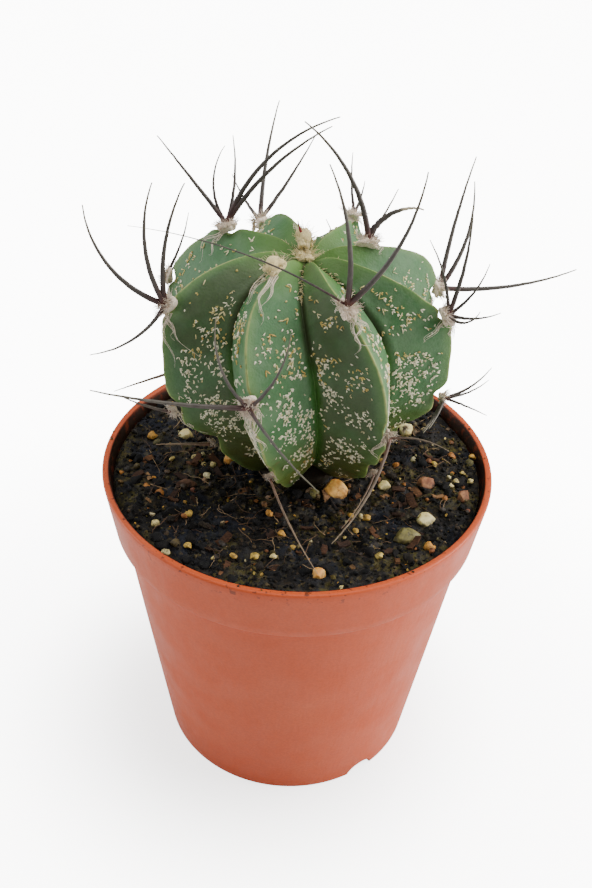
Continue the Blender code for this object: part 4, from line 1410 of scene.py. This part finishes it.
def pad_hair_copies(rng, pad, hair, settings):
    """Short hairs that stand out all over a pad, fewer on an old one."""
    age, radius, copies = pad.areole.age, pad.radius, []
    for _ in range(int(settings.hairs * (0.5 if pad.young else 1 - 0.6 * age))):
        spread = rng.normal(0, 0.55, 2)
        spread /= max(1, np.linalg.norm(spread) / 0.95)
        across, along = spread
        start = pad.centre + pad.side * across * radius * 0.85 + pad.down * along * radius * 0.9
        start = start + pad.out * radius * (pad.tall * 0.4 + pad.lift)
        first = pad.out * rng.uniform(0.5, 1.2) + pad.side * across * 1.4 + pad.down * along * 1.4
        last = first + pad.side * rng.normal(0, 1.0) + pad.down * rng.uniform(-0.4, 1.6)
        length = settings.hair_length * rng.uniform(0.35, 1.25) * (1 - 0.35 * age)
        points = bend_tube(hair, start, first, last, length, settings.hair_radius, tip=0.35,
                           wave=0.07, phase=rng.uniform(0, 6))
        copies.append(Copy(hair, points, {"age": age * 0.8}))
    return copies


def hanging_path(rng, areole, length):
    """A wavy hair that hangs from an areole down over the skin."""
    share = np.linspace(0, 1, 16)
    start = radians(areole.station + 3)
    angle = start + share * length / (17 * MM)
    drift = rng.normal(0, 0.15) * share + rng.uniform(0.02, 0.07) * share * np.sin(
        rng.uniform(0, 6) + share * rng.uniform(5, 13))
    place = areole.rib + rng.uniform(-0.05, 0.05) + drift
    point, out, _ = skin_frames(place % len(RIB_BEARINGS), angle)
    lift = (0.3 + rng.uniform(0.05, 0.5) * np.sin(pi * share) ** 2 * length / (7 * MM)) * MM
    return point + out * lift[:, None]


def strand_copies(rng, pad, strand, settings):
    """Long white hairs that hang in small locks, fanned out at the root."""
    copies = []
    for _ in range(pad.areole.strands // 2):
        reach = rng.uniform(0.45, 1.0) * pad.areole.strand_length * MM
        path = hanging_path(rng, pad.areole, reach)
        for _ in range(LOCK_HAIRS):
            fan = rng.normal(0, 0.13, 3) * MM
            loose = np.linspace(1.6, 0.35, len(path)) + 0.25 * np.sin(
                np.linspace(0, 9, len(path)) + rng.uniform(0, 6))
            end = rng.integers(9, len(path) + 1)
            points = sweep_tube(strand, (path + fan * loose[:, None])[:end], pad.out,
                                settings.hair_radius * rng.uniform(0.7, 1.2))
            copies.append(Copy(strand, points, {"age": -0.5}))
    return copies


def make_wool(settings):
    """Each areole's felted pad with its short hairs and any long hanging strands."""
    finish = wool_finish(settings)
    crown_finish = wool_finish(settings, "crown_wool_felt", crown=True)
    pads, clumps = balls("pad", 5, 4, 0.6, 80.9), balls("clump", 5, 3, 0.7, 90.9)
    hair = straight_tube("hair", 3, 6)
    strand = straight_tube("strand", 4, 12)
    for number, areole in enumerate(AREOLES):
        rng = np.random.default_rng(SEEDS["wool"] + number)
        pad = areole_pad(areole)
        copies = felt_copies(rng, pad, pads[number % len(pads)], clumps)
        copies += pad_hair_copies(rng, pad, hair, settings)
        copies += strand_copies(rng, pad, strand, settings)
        piece = gather("wool_" + areole.name, copies)
        finish_piece(piece, crown_finish if pad.young else finish, "wool",
                     "areole_" + areole.name)


def make_spines(settings):
    """Each areole's tapered spines, bent copies of one straight spine."""
    finish, young = spine_finish(settings), young_spine_finish()
    shape = straight_tube("spine", 12, SPINE_SECTIONS)
    along = shape.points[:, 2]
    row = np.round(along * SPINE_SECTIONS).astype(int)
    for number, areole in enumerate(AREOLES):
        if not areole.spines:
            continue
        rng = np.random.default_rng(SEEDS["spines"] + number)
        point, out, bearing = crest_frame(areole.rib, areole.station)
        centre = point + out * (PAD_THICKNESS / 2 + CLEARANCE)
        copies = []
        for spine in areole.spines:
            first = direction(bearing + radians(spine.bearing), radians(spine.rise))
            last = direction(bearing + radians(spine.end_bearing), radians(spine.end_rise))
            thick = settings.radius * min(1.12, max(0.7, spine.length / 14)) * spine.thick
            points = bend_tube(shape, centre, first, last, spine.length * MM, thick, tip=0.2,
                               taper=1.15)
            uneven = rng.normal(0, 0.012 * MM, (SPINE_SECTIONS + 1, 3))
            points = points + uneven[row] * (1 + 6 * spine.papery)
            papery = np.clip((along - 1 + spine.papery) / 0.06, 0, 1) * (spine.papery > 0)
            copies.append(Copy(shape, points, {"along": along, "age": areole.age,
                                               "papery": papery}))
        piece = gather("spines_" + areole.name, copies)
        finish_piece(piece, young if areole.name == "6_crown" else finish, "spine",
                     "areole_" + areole.name)


def crown_felt_copies(rng, centre):
    """Small balls of yellow felt, one in the middle and the others round it."""
    copies = []
    for number in range(CROWN_FELTS):
        shape = ball(f"felt_{number}", 3, 0.5, number + 120.4)
        bearing = number / CROWN_FELTS * 2 * pi + rng.uniform(-0.2, 0.2)
        reach = rng.uniform(0.3, 1.25) * MM if number else 0
        size = rng.uniform(0.35, 0.62) * MM
        at = centre + around(reach, bearing, 0.35 * MM + rng.uniform(0, 0.4) * MM)
        copies.append(Copy(shape, shape.points * size * (1, 1, 0.75) + at, {"age": 0.0}))
    return copies


def make_crown_tuft(settings):
    """Yellow felt and golden hairs at the growing point and along the tops of the grooves."""
    rng = np.random.default_rng(SEEDS["crown"])
    hair = straight_tube("crown_hair", 4, 8)
    centre = skin_points(np.array([0.0]), np.array([1e-4]))[0]
    copies = crown_felt_copies(rng, centre)

    def grow_hair(start, first, last, length, radius):
        points = bend_tube(hair, start, first, last, length, radius, wave=0.05,
                           phase=rng.uniform(0, 6))
        copies.append(Copy(hair, points, {"age": 0.0}))

    for _ in range(CROWN_HAIRS):
        bearing = rng.uniform(0, 2 * pi)
        reach = rng.uniform(0, 1.5) * MM
        first = around(rng.uniform(0.2, 1.0), bearing + rng.normal(0, 0.4), 1.0)
        last = around(1.0, bearing + rng.normal(0, 0.7), rng.uniform(-0.3, 0.5))
        grow_hair(centre + around(reach, bearing, 0.6 * MM), first, last,
                  rng.uniform(0.5, 1.5) * MM, settings.hair_radius * rng.uniform(0.8, 1.3))
    count = len(RIB_BEARINGS)
    for number in range(count * GROOVE_HAIRS):
        place = (number // GROOVE_HAIRS + 0.5 + rng.normal(0, 0.04)) % count
        angle = radians(rng.uniform(3, 34))
        frame = skin_frames(np.array([place]), np.array([angle]))
        point, out, down = (item[0] for item in frame)
        first = out + down * rng.uniform(0.2, 1.0)
        last = down + out * rng.uniform(-0.1, 0.4) + np.cross(out, down) * rng.normal(0, 0.5)
        grow_hair(point, first, last, rng.uniform(0.5, 1.3) * MM, settings.hair_radius)
    finish_piece(gather("crown_tuft", copies), wool_finish(settings, "crown_felt", crown=True),
                 "wool", "crown_wool")


def make_stage(settings):
    """The floor, the sky, three large lights and the camera."""
    floor = start_piece("floor", bpy.ops.mesh.primitive_plane_add, size=8)
    floor.data.materials.append(floor_finish(settings))
    scene = bpy.context.scene
    world = scene.world or bpy.data.worlds.new("studio")
    scene.world = world
    world.use_nodes = True
    sky = world.node_tree.nodes["Background"]
    sky.inputs["Color"].default_value = (0.99, 0.99, 0.99, 1)
    sky.inputs["Strength"].default_value = settings.fill
    for name, place, size, power, colour in (
            ("key", (0.46, 0.02, 0.26), 0.36, settings.key * 1.35, (1.0, 0.97, 0.94)),
            ("top", (0.06, 0.12, 0.62), 0.5, settings.key, (1.0, 0.99, 0.97)),
            ("side", (-0.46, 0.10, 0.20), 0.34, settings.key * 0.55, (0.97, 0.98, 1.0))):
        bpy.ops.object.light_add(type="AREA", location=place)
        light = bpy.context.object
        light.name = name + "_light"
        light.data.shape, light.data.size = "SQUARE", size
        light.data.energy, light.data.color = power, colour
        aim = Vector((0, 0, 0.05)) - Vector(place)
        light.rotation_euler = aim.to_track_quat("-Z", "Y").to_euler()
    bpy.ops.object.camera_add(location=CAMERA_PLACE)
    camera = bpy.context.object
    camera.data.lens = CAMERA_LENS
    camera.data.clip_start, camera.data.clip_end = 0.005, 20
    back = Vector((sin(CAMERA_TURN) * cos(CAMERA_DOWN), -cos(CAMERA_TURN) * cos(CAMERA_DOWN),
                   sin(CAMERA_DOWN)))
    level = Vector((cos(CAMERA_TURN), sin(CAMERA_TURN), 0))
    rise = back.cross(level)
    right = level * cos(CAMERA_ROLL) + rise * sin(CAMERA_ROLL)
    up = rise * cos(CAMERA_ROLL) - level * sin(CAMERA_ROLL)
    camera.matrix_world = Matrix.Translation(CAMERA_PLACE) @ Matrix(
        (right, up, back)).transposed().to_4x4()
    scene.camera = camera


# ---------------------------------------------------------------- operators and panel

class CACTUS_OT_pot(bpy.types.Operator):
    """Make the nursery pot"""
    bl_idname = "cactus.pot"
    bl_label = "Nursery pot"

    def execute(self, context):
        make_nursery_pot(context.scene.cactus_pot)
        return {"FINISHED"}


class CACTUS_OT_potting_mix(bpy.types.Operator):
    """Make the potting mix"""
    bl_idname = "cactus.potting_mix"
    bl_label = "Potting mix"

    def execute(self, context):
        make_potting_mix(context.scene.cactus_soil)
        return {"FINISHED"}


class CACTUS_OT_litter(bpy.types.Operator):
    """Scatter crumbs, grit, bark flakes and fine roots over the mix"""
    bl_idname = "cactus.litter"
    bl_label = "Crumbs, grit and bark"

    def execute(self, context):
        settings = context.scene.cactus_soil
        make_crumbs(settings)
        make_grit(settings)
        make_bark(settings)
        make_fibres(settings)
        return {"FINISHED"}


class CACTUS_OT_stones(bpy.types.Operator):
    """Make the larger stones"""
    bl_idname = "cactus.stones"
    bl_label = "Stones"

    def execute(self, context):
        make_stones()
        return {"FINISHED"}


class CACTUS_OT_stem(bpy.types.Operator):
    """Make the ribbed stem"""
    bl_idname = "cactus.stem"
    bl_label = "Ribbed stem"

    def execute(self, context):
        make_ribbed_stem(context.scene.cactus_stem)
        return {"FINISHED"}


class CACTUS_OT_flecks(bpy.types.Operator):
    """Make the woolly flecks on the skin"""
    bl_idname = "cactus.flecks"
    bl_label = "Skin flecks"

    def execute(self, context):
        make_flecks(context.scene.cactus_stem)
        return {"FINISHED"}


class CACTUS_OT_wool(bpy.types.Operator):
    """Make the wool of the areoles and of the growing point"""
    bl_idname = "cactus.wool"
    bl_label = "Wool"

    def execute(self, context):
        make_wool(context.scene.cactus_wool)
        make_crown_tuft(context.scene.cactus_wool)
        return {"FINISHED"}


class CACTUS_OT_spines(bpy.types.Operator):
    """Make the spines"""
    bl_idname = "cactus.spines"
    bl_label = "Spines"

    def execute(self, context):
        make_spines(context.scene.cactus_spine)
        return {"FINISHED"}


class CACTUS_OT_stage(bpy.types.Operator):
    """Make the floor, the lights and the camera"""
    bl_idname = "cactus.stage"
    bl_label = "Stage"

    def execute(self, context):
        make_stage(context.scene.cactus_stage)
        return {"FINISHED"}


OPERATORS = (
    CACTUS_OT_pot, CACTUS_OT_potting_mix, CACTUS_OT_litter, CACTUS_OT_stones, CACTUS_OT_stem,
    CACTUS_OT_flecks, CACTUS_OT_wool, CACTUS_OT_spines, CACTUS_OT_stage,
)
SETTINGS = {
    "cactus_pot": PotSettings, "cactus_soil": SoilSettings, "cactus_stem": StemSettings,
    "cactus_spine": SpineSettings, "cactus_wool": WoolSettings, "cactus_stage": StageSettings,
}


class CACTUS_PT_panel(bpy.types.Panel):
    """Lists the cactus's pieces and their settings"""
    bl_label = "Potted cactus"
    bl_idname = "CACTUS_PT_panel"
    bl_space_type = "VIEW_3D"
    bl_region_type = "UI"
    bl_category = "Cactus"

    def draw(self, context):
        for operator in OPERATORS:
            self.layout.operator(operator.bl_idname)
        for key in SETTINGS:
            box = self.layout.box()
            group = getattr(context.scene, key)
            for name in group.__annotations__:
                box.prop(group, name)


def register():
    for item in (*SETTINGS.values(), *OPERATORS, CACTUS_PT_panel):
        bpy.utils.register_class(item)
    for key, group in SETTINGS.items():
        setattr(bpy.types.Scene, key, PointerProperty(type=group))


def unregister():
    for key in SETTINGS:
        delattr(bpy.types.Scene, key)
    for item in reversed((*SETTINGS.values(), *OPERATORS, CACTUS_PT_panel)):
        bpy.utils.unregister_class(item)


def main():
    register()
    bpy.ops.cactus.stage()
    bpy.ops.cactus.pot()
    bpy.ops.cactus.potting_mix()
    bpy.ops.cactus.litter()
    bpy.ops.cactus.stones()
    bpy.ops.cactus.stem()
    bpy.ops.cactus.flecks()
    bpy.ops.cactus.wool()
    bpy.ops.cactus.spines()


if __name__ == "__main__":
    main()
